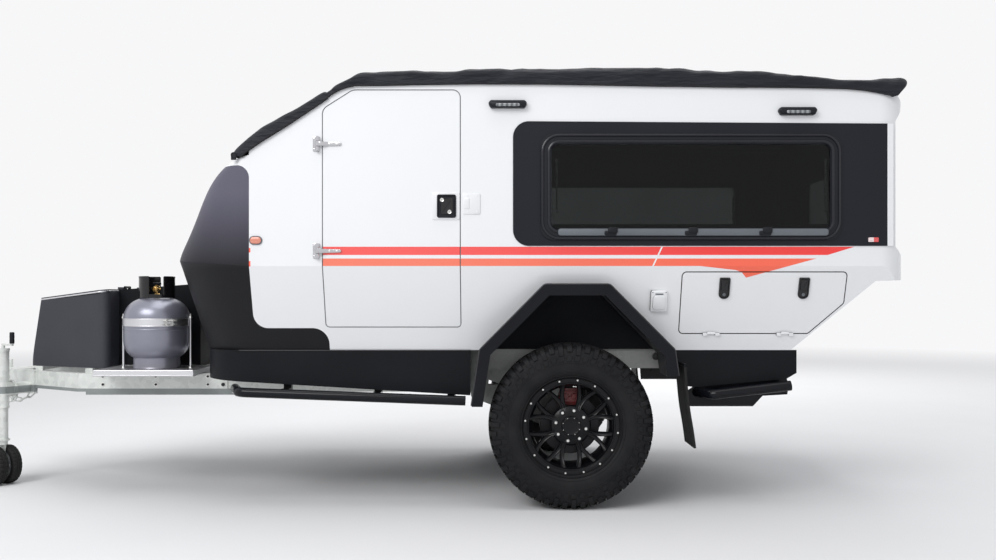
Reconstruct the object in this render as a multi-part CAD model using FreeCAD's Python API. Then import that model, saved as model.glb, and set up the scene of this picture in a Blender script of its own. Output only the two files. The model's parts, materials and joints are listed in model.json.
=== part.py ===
"""Off-road teardrop camper trailer, parked on its jockey wheels.

Frame: X runs from the coupling (-X) to the rear (+X), Y across, Z up, in millimetres.
The near side with the entry door is -Y. The origin lies on the ground, midway along and across.
Stations along the trailer are given from the axle: negative ahead of it, positive behind it.
"""
import FreeCAD, Part
import math
import os
from FreeCAD import Vector as V

# Driving dimensions

AXLE_TO_COUPLING = 3440.0
AXLE_TO_REAR = 1666.0
AXLE_X = (AXLE_TO_COUPLING - AXLE_TO_REAR) / 2.0

# Wheels
TYRE_DIAMETER = 815.0
TYRE_WIDTH = 255.0
TREAD_LUGS = 27
TREAD_DEPTH = 11.0
TREAD_SLOT = 13.0
TREAD_GROOVE = 9.0
RIM_FLANGE_DIAMETER = 472.0
RIM_WIDTH = 210.0
FLANGE_HEIGHT = 17.5
FLANGE_THICKNESS = 12.0
LIP_RING = 30.0
WHEEL_SETBACK = 87.5
SPOKES = 8
WHEEL_BOLTS = 8
WHEEL_BOLT_CIRCLE = 165.0
DISC_DIAMETER = 300.0
DISC_THICKNESS = 22.0
SPINDLE_RADIUS = 24.0
SPINDLE_GAP = 0.3
PIVOT_PIN_RADIUS = 10.0
PIVOT_X = -465.0
PIVOT_Z = 560.0

# Cabin shell
BODY_HALF = 980.0
TRACK = 2.0 * (BODY_HALF - WHEEL_SETBACK)
WALL = 32.0
CREASE_Z = 1194.0
BODY_BOTTOM = 774.0
TUCK = 145.0
FLOOR_THICKNESS = 40.0
ROOF_CROWN_Z = 2106.0
ROOF_ARC = 3000.0
ROOF_FRONT_DROP = 8.0
ROOF_REAR_DROP = 44.0
SLOPE_DROP = 351.0
ROOF_FRONT_Z = ROOF_CROWN_Z - ROOF_FRONT_DROP
ROOF_REAR_Z = ROOF_CROWN_Z - ROOF_REAR_DROP
SLOPE_FOOT = -1617.0
SLOPE_FOOT_Z = ROOF_CROWN_Z - SLOPE_DROP
SLOPE_TOP = -1105.0
REAR_WALL = 1602.0
REAR_TUCK_TOP = 1505.0
REAR_TUCK_TOP_Z = 1122.0
REAR_TUCK_FOOT = 1120.0
REAR_CORNER_RADIUS = 150.0
REAR_LIP_RISE = 96.0

# Moulded nose
NOSE_SPLIT = -1582.0
NOSE_CROWN = 60.0
NOSE_CREASE_RISE = 0.075
NOSE_TOP_GAP = 16.0
NOSE_TOP_Z = SLOPE_FOOT_Z - NOSE_TOP_GAP
NOSE_CORNER = 400.0
NOSE_ARC = 4000.0
NOSE_TIP = -2066.0
NOSE_LOW_FRONT = -1876.0
NOSE_LOW_Z = 600.0
NOSE_SHOULDER = ((0.378, 84.0), (0.644, 156.0), (0.818, 222.0), (0.928, 296.0), (1.0, 414.0))
GUARD_BAND_TOP = 886.0
GUARD_BAND_END = -1209.0

# Entry door
DOOR_FRONT = -1224.0
DOOR_REAR = -542.0
DOOR_BOTTOM = 889.0
DOOR_BELOW_CROWN = 45.0
DOOR_TOP = ROOF_CROWN_Z - DOOR_BELOW_CROWN
DOOR_SLOPE_CUT = 105.0
DOOR_GAP = 5.0
HINGE_SETBACK = 20.0
HINGE_STANDOFF = 14.0
HINGE_HEIGHTS = (DOOR_TOP - 268.0, DOOR_BOTTOM + 379.0)

# Side windows and their black surround
SURROUND_FRONT = -286.0
SURROUND_REAR = 1580.0
SURROUND_BOTTOM = 1293.0
SURROUND_BELOW_CROWN = 201.0
SURROUND_TOP = ROOF_CROWN_Z - SURROUND_BELOW_CROWN
SURROUND_THICKNESS = 4.0
WINDOW_FRONT = -149.0
WINDOW_REAR = 1319.0
WINDOW_SILL = 29.0
WINDOW_HEAD = 63.0
WINDOW_BOTTOM = SURROUND_BOTTOM + WINDOW_SILL
WINDOW_TOP = SURROUND_TOP - WINDOW_HEAD
WINDOW_FRAME_WIDTH = 52.0
WINDOW_FLANGE = 20.0
WINDOW_FRAME_PROUD = 16.0
GLASS_THICKNESS = 5.0
REAR_WINDOW_HALF = 480.0
REAR_WINDOW_ABOVE_LIP = 50.0
REAR_WINDOW_BELOW_ROOF = 262.0
REAR_WINDOW_BOTTOM = CREASE_Z + REAR_LIP_RISE + REAR_WINDOW_ABOVE_LIP
REAR_WINDOW_TOP = ROOF_REAR_Z - REAR_WINDOW_BELOW_ROOF

# Side locker hatches
LOCKER_FRONT = 545.0
LOCKER_REAR = 1362.0
LOCKER_FOOT = 1198.0
LOCKER_BOTTOM = 856.0
LOCKER_TOP = 1168.0
LOCKER_REAR_KNEE = 1010.0
LOCKER_GAP = 5.0
HATCH_THICKNESS = 18.0
HATCH_HINGES = (710.0, 1080.0)
HATCH_KNUCKLE = 4.5
HATCH_PIN = 2.0
HATCH_STANDOFF = 5.5

# Wheel arches and flares
ARCH_TOP = 1103.0
ARCH_TOP_FRONT = -132.0
ARCH_TOP_REAR = 184.0
ARCH_FOOT_FRONT = -447.0
ARCH_FOOT_REAR = 500.0
ARCH_FOOT_Z = 785.0
FLARE_BAND = 53.0
FLARE_PROUD = 50.0
FLARE_DEPTH = 240.0
FLARE_OUT = BODY_HALF + FLARE_PROUD
FLARE_FRONT_END = 508.0
FLARE_REAR_END = 655.0
WELL_SHEET = 5.0
WELL_CLEAR = 10.0

# Skirts, step tubes and stone bars
SKIRT_SHEET = 8.0
SKIRT_PROUD = 6.0
SKIRT_FRONT = -1912.0
SKIRT_CORNER = 210.0
SKIRT_FRONT_Z = 623.0
SKIRT_ARCH_Z = 542.0
SKIRT_REAR_Z = 587.0
STEP_TUBE = 48.0

FLAP_STATION = 548.0
FLAP_TOP = 700.0
FLAP_SHEET = 12.0

# Chassis and drawbar
RAIL_SETBACK = 135.0
RAIL_HALF_GAUGE = BODY_HALF - TUCK - RAIL_SETBACK
RAIL_WIDTH = 50.0
WELL_INNER = RAIL_HALF_GAUGE + RAIL_WIDTH / 2.0 + WELL_CLEAR
RAIL_HEIGHT = 100.0
RAIL_WALL = 4.0
RAIL_FRONT = -1500.0
RAIL_REAR = 1085.0
RAIL_HOLE = 457.0
RAIL_HOLE_RADIUS = 20.0
DRAWBAR_HALF_GAUGE = 430.0
DRAWBAR_TOP = 626.0
DRAWBAR_HEIGHT = 100.0
DRAWBAR_WIDTH = 50.0
DRAWBAR_REAR = -650.0
DRAWBAR_BEND = -2645.0
DRAWBAR_NOSE = -3215.0
DRAWBAR_NOSE_HALF = 62.0
COUPLING_DROP = 45.0

# Safety chains, each hung in a loop from a lug under the rail to one under the coupling
CHAIN_REAR = -3125.0
CHAIN_FRONT = -3330.0
CHAIN_FRONT_Y = 41.0
CHAIN_SAG = 98.0
CHAIN_LINKS = 7
CHAIN_BAR = 9.0
CHAIN_WIDTH = 31.0
CHAIN_BEARING = 1.5
CHAIN_LUG = 6.0
CHAIN_LUG_DROP = 15.0

# Toolbox
BOX_BOTTOM = 650.0
BOX_FRONT = -3019.0
BOX_RAKE = 71.0
BOX_REAR = -2498.0
BOX_FRONT_HALF = 200.0
BOX_REAR_HALF = 430.0
BOX_FRONT_TOP = 1030.0
BOX_REAR_TOP = 1078.0
BOX_SHEET = 4.0
LID_THICKNESS = 14.0
NECK_HALF = 250.0
NECK_REAR = -2040.0
NECK_TOP_REAR = 1117.0

# Gas bottles
BOTTLE_DIAMETER = 345.0
BOTTLE_STATION = -2206.0
BOTTLE_Y = 480.0
BOTTLE_HEIGHT = 345.0
BOTTLE_COLLAR = 108.0
BOTTLE_FOOT = 42.0
TRAY_TOP = 658.0
TRAY_FRONT = -2475.0
TRAY_REAR = -1952.0
TRAY_HALF_WIDTH = 190.0

# Jockey wheels, drawn with X along the near rail and -Y out of it
JOCKEY_ALONG = 240.0
JOCKEY_OUT = 176.0
JOCKEY_PIVOT_Z = 531.0
JOCKEY_TUBE = 60.0
JOCKEY_WHEEL_DIAMETER = 214.0
JOCKEY_WHEEL_WIDTH = 56.0
JOCKEY_SPACING = 78.0
JOCKEY_TRAIL = 24.0
JOCKEY_PIN = 12.0

# Canvas roof cover
COVER_CLEAR = 0.3
COVER_OVERHANG = 12.0
COVER_JOIN = -1205.0


def st(station):
    """X of a station given from the axle."""
    return AXLE_X + station


def place(u, v, w, plane):
    """A point on an outline's plane, w out of it."""
    if plane == "xz":
        return V(u, w, v)
    if plane == "yz":
        return V(w, u, v)
    return V(u, v, w)


def outline(points, plane, w):
    """A closed wire through (u, v, radius) corners: straight sides joined by tangent arcs."""
    count = len(points)
    trims = []
    for i in range(count):
        (au, av, _), (bu, bv, r), (cu, cv, _) = points[i - 1], points[i], points[(i + 1) % count]
        back = V(au - bu, av - bv, 0)
        ahead = V(cu - bu, cv - bv, 0)
        back.normalize()
        ahead.normalize()
        corner = V(bu, bv, 0)
        if r <= 0:
            trims.append((corner, None, corner))
            continue
        half = back.getAngle(ahead) / 2.0
        reach = r / math.tan(half)
        middle = back + ahead
        middle.normalize()
        centre = corner + middle * (r / math.sin(half))
        trims.append((corner + back * reach, centre - middle * r, corner + ahead * reach))
    edges = []
    for i in range(count):
        start, mid, end = trims[i]
        following = trims[(i + 1) % count][0]
        if mid is not None:
            arc = [place(p.x, p.y, w, plane) for p in (start, mid, end)]
            edges.append(Part.Arc(*arc).toShape())
        if end.distanceToPoint(following) > 1e-6:
            ends = [place(p.x, p.y, w, plane) for p in (end, following)]
            edges.append(Part.LineSegment(*ends).toShape())
    return Part.Wire(edges)


def slab(points, plane, w0, w1):
    """The outline's area carried from w0 to w1 along the axis that its plane leaves out."""
    face = Part.Face(outline(points, plane, w0))
    return face.extrude(place(0, 0, w1 - w0, plane))


def sharp(points, radius=0.0):
    """Give every corner of a list of (u, v) pairs the same radius."""
    return [(u, v, radius) for u, v in points]


def inset(points, distance):
    """Move each side of an outline inwards and meet the sides again; corners keep sensible radii."""
    area = 0.0
    count = len(points)
    for i in range(count):
        a, b = points[i], points[(i + 1) % count]
        area += a[0] * b[1] - b[0] * a[1]
    turn = 1.0 if area > 0 else -1.0
    moved = []
    for i in range(count):
        a, b, c = points[i - 1], points[i], points[(i + 1) % count]
        d1 = V(b[0] - a[0], b[1] - a[1], 0)
        d2 = V(c[0] - b[0], c[1] - b[1], 0)
        d1.normalize()
        d2.normalize()
        n1 = V(-d1.y, d1.x, 0) * turn
        n2 = V(-d2.y, d2.x, 0) * turn
        bisector = n1 + n2
        step = bisector * (distance / (1.0 + n1.dot(n2)))
        convex = (d1.x * d2.y - d1.y * d2.x) * turn > 0
        radius = b[2] - distance if convex else b[2] + distance
        moved.append((b[0] + step.x, b[1] + step.y, max(radius, 0.0) if b[2] > 0 else 0.0))
    return moved


def box(x0, x1, y0, y1, z0, z1):
    return Part.makeBox(x1 - x0, y1 - y0, z1 - z0, V(x0, y0, z0))


def rod(start, end, radius):
    """A round bar between two points."""
    axis = end - start
    return Part.makeCylinder(radius, axis.Length, start, axis)


def pipe(start, end, radius, wall):
    return rod(start, end, radius).cut(rod(start, end, radius - wall))


def revolve_y(points, x, z):
    """Turn an outline of (radius, y, corner radius) about the line along Y through x, z."""
    wire = outline([(y, r, c) for r, y, c in points], "yz", 0.0)
    face = Part.Face(wire)
    turned = face.revolve(V(0, 0, 0), V(0, 1, 0), 360)
    turned.translate(V(x, 0, z))
    return turned


def revolve_z(points, x, y):
    """Turn an outline of (radius, z, corner radius) about the upright line through x, y."""
    wire = outline([(r, z, c) for r, z, c in points], "xz", 0.0)
    turned = Part.Face(wire).revolve(V(0, 0, 0), V(0, 0, 1), 360)
    turned.translate(V(x, y, 0))
    return turned


def mirrored(shape):
    """The same piece on the other side of the trailer."""
    return shape.mirror(V(0, 0, 0), V(0, 1, 0))


def pair(shape):
    return Part.makeCompound([shape, mirrored(shape)])


def fuse(shapes):
    return shapes[0].multiFuse(list(shapes[1:])).removeSplitter()


def swept_tube(points, bend, radius, wall):
    """A round tube along straight runs joined by bends."""
    edges = []
    last = points[0]
    for i in range(1, len(points) - 1):
        corner = points[i]
        back = (points[i - 1] - corner).normalize()
        ahead = (points[i + 1] - corner).normalize()
        half = back.getAngle(ahead) / 2.0
        reach = bend / math.tan(half)
        middle = (back + ahead).normalize()
        centre = corner + middle * (bend / math.sin(half))
        start = corner + back * reach
        end = corner + ahead * reach
        edges.append(Part.LineSegment(last, start).toShape())
        edges.append(Part.Arc(start, centre - middle * bend, end).toShape())
        last = end
    edges.append(Part.LineSegment(last, points[-1]).toShape())
    path = Part.Wire(edges)
    direction = points[1] - points[0]
    outer = Part.Wire([Part.Circle(points[0], direction, radius).toShape()])
    solid = path.makePipeShell([outer], True, True)
    if wall <= 0:
        return solid
    inner = Part.Wire([Part.Circle(points[0], direction, radius - wall).toShape()])
    return solid.cut(path.makePipeShell([inner], True, True))


# Cabin shell

def tuck_at(z):
    """How far the side lies inside its full width at a height below the crease."""
    if z >= CREASE_Z:
        return 0.0
    return TUCK * (CREASE_Z - z) / (CREASE_Z - BODY_BOTTOM)


def slope_z(station):
    """Height of the sloping front roof at a station."""
    rise = (ROOF_FRONT_Z - SLOPE_FOOT_Z) / (SLOPE_TOP - SLOPE_FOOT)
    return SLOPE_FOOT_Z + (station - SLOPE_FOOT) * rise


def cross_section():
    """The body across its width: upright sides above the crease, tucked in below it."""
    low = BODY_BOTTOM - 200.0
    high = ROOF_CROWN_Z + 200.0
    side = [(BODY_HALF - tuck_at(low), low), (BODY_HALF, CREASE_Z), (BODY_HALF, high)]
    return sharp(side + [(-y, z) for y, z in reversed(side)])


def side_profile(lips):
    """The cabin's side outline behind the nose, with or without the rear lips."""
    front = [
        (st(NOSE_SPLIT), BODY_BOTTOM, 0),
        (st(NOSE_SPLIT), slope_z(NOSE_SPLIT), 0),
        (st(SLOPE_TOP), ROOF_FRONT_Z, ROOF_ARC / 10.0),
        (st(350), ROOF_CROWN_Z, ROOF_ARC),
    ]
    foot = (st(REAR_TUCK_FOOT), BODY_BOTTOM, 0)
    if not lips:
        run = (REAR_TUCK_TOP_Z - BODY_BOTTOM) / (REAR_TUCK_TOP - REAR_TUCK_FOOT)
        knee_z = REAR_TUCK_TOP_Z + (REAR_WALL - REAR_TUCK_TOP) * run
        return front + [(st(REAR_WALL), ROOF_REAR_Z, 60), (st(REAR_WALL), knee_z, 40), foot]
    rear = [
        (st(REAR_WALL) - 17, ROOF_REAR_Z, 40),
        (st(REAR_WALL) + 48, ROOF_REAR_Z - 50, 22),
        (st(REAR_WALL) + 36, ROOF_REAR_Z - 102, 14),
        (st(REAR_WALL), ROOF_REAR_Z - 150, 24),
        (st(REAR_WALL), CREASE_Z + REAR_LIP_RISE, 14),
        (st(AXLE_TO_REAR), CREASE_Z + 42, 45),
        (st(AXLE_TO_REAR), REAR_TUCK_TOP_Z + 4, 26),
        (st(REAR_TUCK_TOP), REAR_TUCK_TOP_Z, 20),
    ]
    return front + rear + [foot]


def rear_rounding(distance):
    """Plan of the cabin with rounded rear corners, moved in by a distance."""
    half = BODY_HALF - distance
    end = st(AXLE_TO_REAR) + 2.0 - distance
    radius = REAR_CORNER_RADIUS - distance
    ahead = st(NOSE_SPLIT) - 2.0 * WALL
    return [(ahead, -half, 0), (end, -half, radius), (end, half, radius), (ahead, half, 0)]


def cabin_outer():
    profile = slab(side_profile(True), "xz", -BODY_HALF, BODY_HALF)
    section = slab(cross_section(), "yz", st(NOSE_SPLIT) - 500, st(AXLE_TO_REAR) + 100)
    plan = slab(rear_rounding(0.0), "xy", BODY_BOTTOM - 10, ROOF_CROWN_Z + 10)
    return profile.common(section).common(plan)


def cabin_inner():
    base = inset(side_profile(False), WALL)
    ahead = st(NOSE_SPLIT) - WALL
    floor_top = BODY_BOTTOM + FLOOR_THICKNESS
    base[0] = (ahead, floor_top, 0)
    base[1] = (ahead, slope_z(NOSE_SPLIT) - 3.0 * WALL, 0)
    last = base[-1]
    before = base[-2]
    share = (floor_top - last[1]) / (before[1] - last[1])
    base[-1] = (last[0] + (before[0] - last[0]) * share, floor_top, 0)
    profile = slab(base, "xz", -BODY_HALF, BODY_HALF)
    section = slab(inset(cross_section(), WALL), "yz", st(NOSE_SPLIT) - 500, st(AXLE_TO_REAR) + 100)
    plan = slab(rear_rounding(WALL), "xy", BODY_BOTTOM - 10, ROOF_CROWN_Z + 10)
    return profile.common(section).common(plan)


def nose_section(z, front, half, radius, rise=0.0):
    """One level of the nose in plan: square at the split, rounded corners, slightly crowned front."""
    back = st(NOSE_SPLIT)
    points = [
        (back, half, 0),
        (st(front) + NOSE_CROWN, half, radius),
        (st(front), 0, NOSE_ARC),
        (st(front) + NOSE_CROWN, -half, radius),
        (back, -half, 0),
    ]
    wire = outline(points, "xy", z)
    if rise == 0.0:
        return wire
    shear = FreeCAD.Matrix()
    shear.A31 = -rise
    shear.A34 = rise * back
    return wire.transformGeometry(shear)


def nose_solid(distance, bottom, top):
    """The nose between two heights, every face moved in by a distance."""
    lean = 1.06 * distance
    tip = NOSE_TIP + lean
    low_front = NOSE_LOW_FRONT + lean
    low_z = NOSE_LOW_Z
    rise = NOSE_TOP_Z - CREASE_Z

    def half_at(z):
        return BODY_HALF - tuck_at(z) - lean

    def corner(front):
        return min(NOSE_CORNER - distance, 0.98 * (NOSE_SPLIT - front - NOSE_CROWN))

    low = nose_section(low_z, low_front, half_at(low_z), corner(low_front))
    crease = nose_section(CREASE_Z, tip, BODY_HALF - distance, corner(tip), NOSE_CREASE_RISE)
    upper = [crease]
    for share, behind in NOSE_SHOULDER:
        level = CREASE_Z + share * (rise - distance)
        ahead = min(NOSE_TIP + behind + lean, NOSE_SPLIT - NOSE_CROWN - 10.0)
        upper.append(nose_section(level, ahead, BODY_HALF - distance, corner(ahead)))
    lower = Part.makeLoft([low, crease], True, True)
    above = Part.makeLoft(upper, True, False)
    whole = lower.fuse(above)
    reach = BODY_HALF + 120
    keep = box(st(NOSE_TIP - 250), st(NOSE_SPLIT), -reach, reach, bottom, top)
    return whole.common(keep)


def guard_region():
    """Side view of what the black nose guard covers: the nose and a band under the door."""
    low = BODY_BOTTOM - 50.0
    return [
        (st(NOSE_TIP - 250), low, 0),
        (st(NOSE_TIP - 250), ROOF_CROWN_Z + 194, 0),
        (st(NOSE_SPLIT), ROOF_CROWN_Z + 194, 0),
        (st(NOSE_SPLIT), GUARD_BAND_TOP, 70),
        (st(GUARD_BAND_END), GUARD_BAND_TOP, 80),
        (st(GUARD_BAND_END), low, 0),
    ]


def side_region(depth):
    """Everything outside a plane that lies a depth inside the near side's skin."""
    low = BODY_BOTTOM - 200.0
    high = ROOF_CROWN_Z + 294.0
    away = -(BODY_HALF + 320.0)
    inner = inset(cross_section(), depth)
    crease = next(p for p in inner if p[0] < 0 and abs(p[1] - CREASE_Z) < depth)
    foot_y = -(BODY_HALF - depth / math.cos(math.atan(TUCK / (CREASE_Z - BODY_BOTTOM))) - tuck_at(low))
    points = [(away, low), (foot_y, low), (crease[0], crease[1]), (crease[0], high), (away, high)]
    return slab(sharp(points), "yz", st(NOSE_SPLIT) - 400, st(AXLE_TO_REAR) + 100)


def arch_outline():
    """The outer edge of the wheel arch flare in side view."""
    spread = 50.0
    return [
        (st(ARCH_FOOT_FRONT) - spread, FLARE_FRONT_END - 60, 0),
        (st(ARCH_FOOT_FRONT), ARCH_FOOT_Z, 0),
        (st(ARCH_TOP_FRONT), ARCH_TOP, 24),
        (st(ARCH_TOP_REAR), ARCH_TOP, 24),
        (st(ARCH_FOOT_REAR), ARCH_FOOT_Z, 0),
        (st(ARCH_FOOT_REAR) + spread, FLARE_FRONT_END - 60, 0),
    ]


def arch_opening(grow=0.0):
    return inset(arch_outline(), FLARE_BAND - grow)


def door_outline():
    return [
        (st(DOOR_FRONT), DOOR_BOTTOM, 22),
        (st(DOOR_FRONT), DOOR_TOP - DOOR_SLOPE_CUT + 10, 50),
        (st(DOOR_FRONT) + DOOR_SLOPE_CUT + 45, DOOR_TOP, 60),
        (st(DOOR_REAR), DOOR_TOP, 40),
        (st(DOOR_REAR), DOOR_BOTTOM, 22),
    ]


def locker_outline():
    return [
        (st(LOCKER_FRONT), LOCKER_BOTTOM, 24),
        (st(LOCKER_FRONT), LOCKER_TOP, 24),
        (st(LOCKER_REAR), LOCKER_TOP, 24),
        (st(LOCKER_REAR), LOCKER_REAR_KNEE, 24),
        (st(LOCKER_FOOT), LOCKER_BOTTOM, 24),
    ]


def window_outline():
    return [
        (st(WINDOW_FRONT), WINDOW_BOTTOM, 60),
        (st(WINDOW_FRONT), WINDOW_TOP, 60),
        (st(WINDOW_REAR), WINDOW_TOP, 60),
        (st(WINDOW_REAR), WINDOW_BOTTOM, 60),
    ]


def surround_outline():
    return [
        (st(SURROUND_FRONT), SURROUND_BOTTOM, 78),
        (st(SURROUND_FRONT), SURROUND_TOP, 78),
        (st(SURROUND_REAR), SURROUND_TOP - 12, 0),
        (st(SURROUND_REAR), SURROUND_BOTTOM, 0),
    ]


def rear_window_outline():
    half = REAR_WINDOW_HALF
    return [
        (-half, REAR_WINDOW_BOTTOM, 54),
        (-half, REAR_WINDOW_TOP, 54),
        (half, REAR_WINDOW_TOP, 54),
        (half, REAR_WINDOW_BOTTOM, 54),
    ]


def side_slab(points, inner=280.0 - BODY_HALF, outer=-BODY_HALF - 220.0):
    """An outline in side view carried through the near side wall."""
    return slab(points, "xz", outer, inner)


def hatch_hinge_line():
    """Y and Z of the near side hatch's hinge axis, in front of the gap at its foot."""
    z = LOCKER_BOTTOM + LOCKER_GAP / 2.0
    return -(BODY_HALF - tuck_at(z)) - HATCH_STANDOFF, z


def hatch_knuckles():
    """Small knuckles of the near side hatch: those on the hatch, and those with their pins on the wall."""
    y, z = hatch_hinge_line()
    r = HATCH_KNUCKLE
    moving, fixed = [], []
    for station in HATCH_HINGES:
        x = st(station)
        knuckle = rod(V(x - 20, y, z), V(x + 20, y, z), r)
        moving.append(knuckle.fuse(box(x - 20, x + 20, y - 3, y + 8, z, z + 10)))
        for low in (x - 42, x + 20.5):
            knuckle = rod(V(low, y, z), V(low + 21.5, y, z), r)
            fixed.append(knuckle.fuse(box(low, low + 21.5, y - 3, y + 14, z - 10, z)))
        fixed.append(rod(V(x - 42, y, z), V(x + 42, y, z), HATCH_PIN))
    bore = rod(V(st(LOCKER_FRONT), y, z), V(st(LOCKER_REAR), y, z), HATCH_PIN + 0.3)
    return moving, fixed, bore


def build_cabin(parts):
    outer = cabin_outer()
    inner = cabin_inner()
    region = side_region(WALL)
    band = slab(guard_region(), "xz", -BODY_HALF - 320, BODY_HALF + 320)
    shell = outer.cut(inner)

    arch = side_slab(arch_opening(), -WELL_INNER - WELL_SHEET)
    side = outer.common(region)
    panel = side.cut(band).cut(arch)
    window_hole = side_slab(inset(window_outline(), WINDOW_FLANGE))
    locker_hole = side_slab(locker_outline())
    door_hole = side_slab(door_outline())
    moving, fixed, bore = hatch_knuckles()
    wall = fuse([panel.cut(window_hole).cut(locker_hole)] + fixed)
    parts["wall_left"] = wall.cut(door_hole)
    parts["wall_right"] = mirrored(wall)
    parts["entry_door"] = side.cut(band).common(side_slab(inset(door_outline(), DOOR_GAP)))
    hatch = outer.common(side_region(HATCH_THICKNESS)).common(side_slab(inset(locker_outline(), LOCKER_GAP)))
    hatch = fuse([hatch] + moving).cut(bore)
    parts["locker_hatch_left"] = hatch
    parts["locker_hatch_right"] = mirrored(hatch)

    middle = shell.cut(region).cut(mirrored(region))
    half = BODY_HALF + 120
    ahead, behind, knee = st(NOSE_SPLIT) - 50, st(REAR_WALL) + 198, st(REAR_WALL) - 202
    foot, joint, over = SLOPE_FOOT_Z - 155, ROOF_REAR_Z - 117, ROOF_CROWN_Z + 194
    roof_zone = slab(sharp([
        (ahead, foot), (ahead, over), (behind, over), (behind, joint), (knee, joint), (knee, foot),
    ]), "xz", -half, half)
    floor_zone = box(ahead, st(REAR_TUCK_FOOT) - 70, -half, half, BODY_BOTTOM - 74, BODY_BOTTOM + 126)
    parts["roof"] = middle.common(roof_zone)
    well_grown = side_slab(arch_opening(WELL_SHEET), -WELL_INNER)
    floor = middle.common(floor_zone).cut(well_grown).cut(mirrored(well_grown))
    parts["floor"] = floor.cut(band)
    rear = middle.cut(roof_zone).cut(floor_zone)
    rear_hole = slab(inset(rear_window_outline(), WINDOW_FLANGE), "yz", st(REAR_WALL) - 102, st(REAR_WALL) + 98)
    parts["rear_wall"] = rear.cut(rear_hole)

    nose = nose_solid(0.0, BODY_BOTTOM, NOSE_TOP_Z)
    hollow = nose_solid(WALL, BODY_BOTTOM + FLOOR_THICKNESS, NOSE_TOP_Z - WALL)
    reach = slab(inset(cross_section(), 2 * WALL), "yz", st(NOSE_SPLIT) - 2 * WALL, st(NOSE_SPLIT))
    reach = reach.common(box(st(NOSE_SPLIT) - 2 * WALL, st(NOSE_SPLIT), -BODY_HALF, BODY_HALF, BODY_BOTTOM + 126,
                             NOSE_TOP_Z - 49))
    nose_shell = nose.cut(hollow.fuse(reach))
    bands = shell.common(band)
    parts["nose_guard"] = nose_shell.fuse(bands).removeSplitter()

    ring = side_slab(arch_opening(WELL_SHEET), -WELL_INNER).cut(side_slab(arch_opening(), -WELL_INNER - WELL_SHEET))
    well = ring.common(outer).cut(region)
    parts["wheel_wells"] = pair(well)
    return inner, outer


def build_windows(parts):
    proud = BODY_HALF + WINDOW_FRAME_PROUD
    skin = BODY_HALF + SURROUND_THICKNESS
    hole = inset(window_outline(), WINDOW_FLANGE)
    opening = inset(window_outline(), WINDOW_FRAME_WIDTH)
    surround = side_slab(surround_outline(), -BODY_HALF, -skin).cut(side_slab(hole))
    parts["window_surrounds"] = pair(surround)

    flange = slab(window_outline(), "xz", -proud, -skin)
    sleeve = slab(hole, "xz", -proud, -BODY_HALF + WALL)
    sill = box(st(WINDOW_FRONT + 60), st(WINDOW_REAR - 60), -BODY_HALF, -BODY_HALF + 14,
               WINDOW_BOTTOM + WINDOW_FRAME_WIDTH - 4, WINDOW_BOTTOM + WINDOW_FRAME_WIDTH + 26)
    frame = flange.fuse(sleeve).cut(side_slab(opening)).fuse(sill)
    pane_outline = inset(window_outline(), WINDOW_FRAME_WIDTH + 0.3)
    pane = slab(pane_outline, "xz", -BODY_HALF - 8, -BODY_HALF - 8 + GLASS_THICKNESS)

    rear_x = st(REAR_WALL)
    rear_hole = inset(rear_window_outline(), WINDOW_FLANGE)
    rear_open = inset(rear_window_outline(), WINDOW_FRAME_WIDTH)
    rear_frame = slab(rear_window_outline(), "yz", rear_x, rear_x + WINDOW_FRAME_PROUD)
    rear_frame = rear_frame.fuse(slab(rear_hole, "yz", rear_x - WALL, rear_x + WINDOW_FRAME_PROUD))
    rear_frame = rear_frame.cut(slab(rear_open, "yz", rear_x - 200, rear_x + 200))
    rear_pane_line = inset(rear_window_outline(), WINDOW_FRAME_WIDTH + 0.3)
    rear_pane = slab(rear_pane_line, "yz", rear_x, rear_x + GLASS_THICKNESS)
    parts["window_frames"] = Part.makeCompound([frame, mirrored(frame), rear_frame])
    parts["window_panes"] = Part.makeCompound([pane, mirrored(pane), rear_pane])


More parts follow.
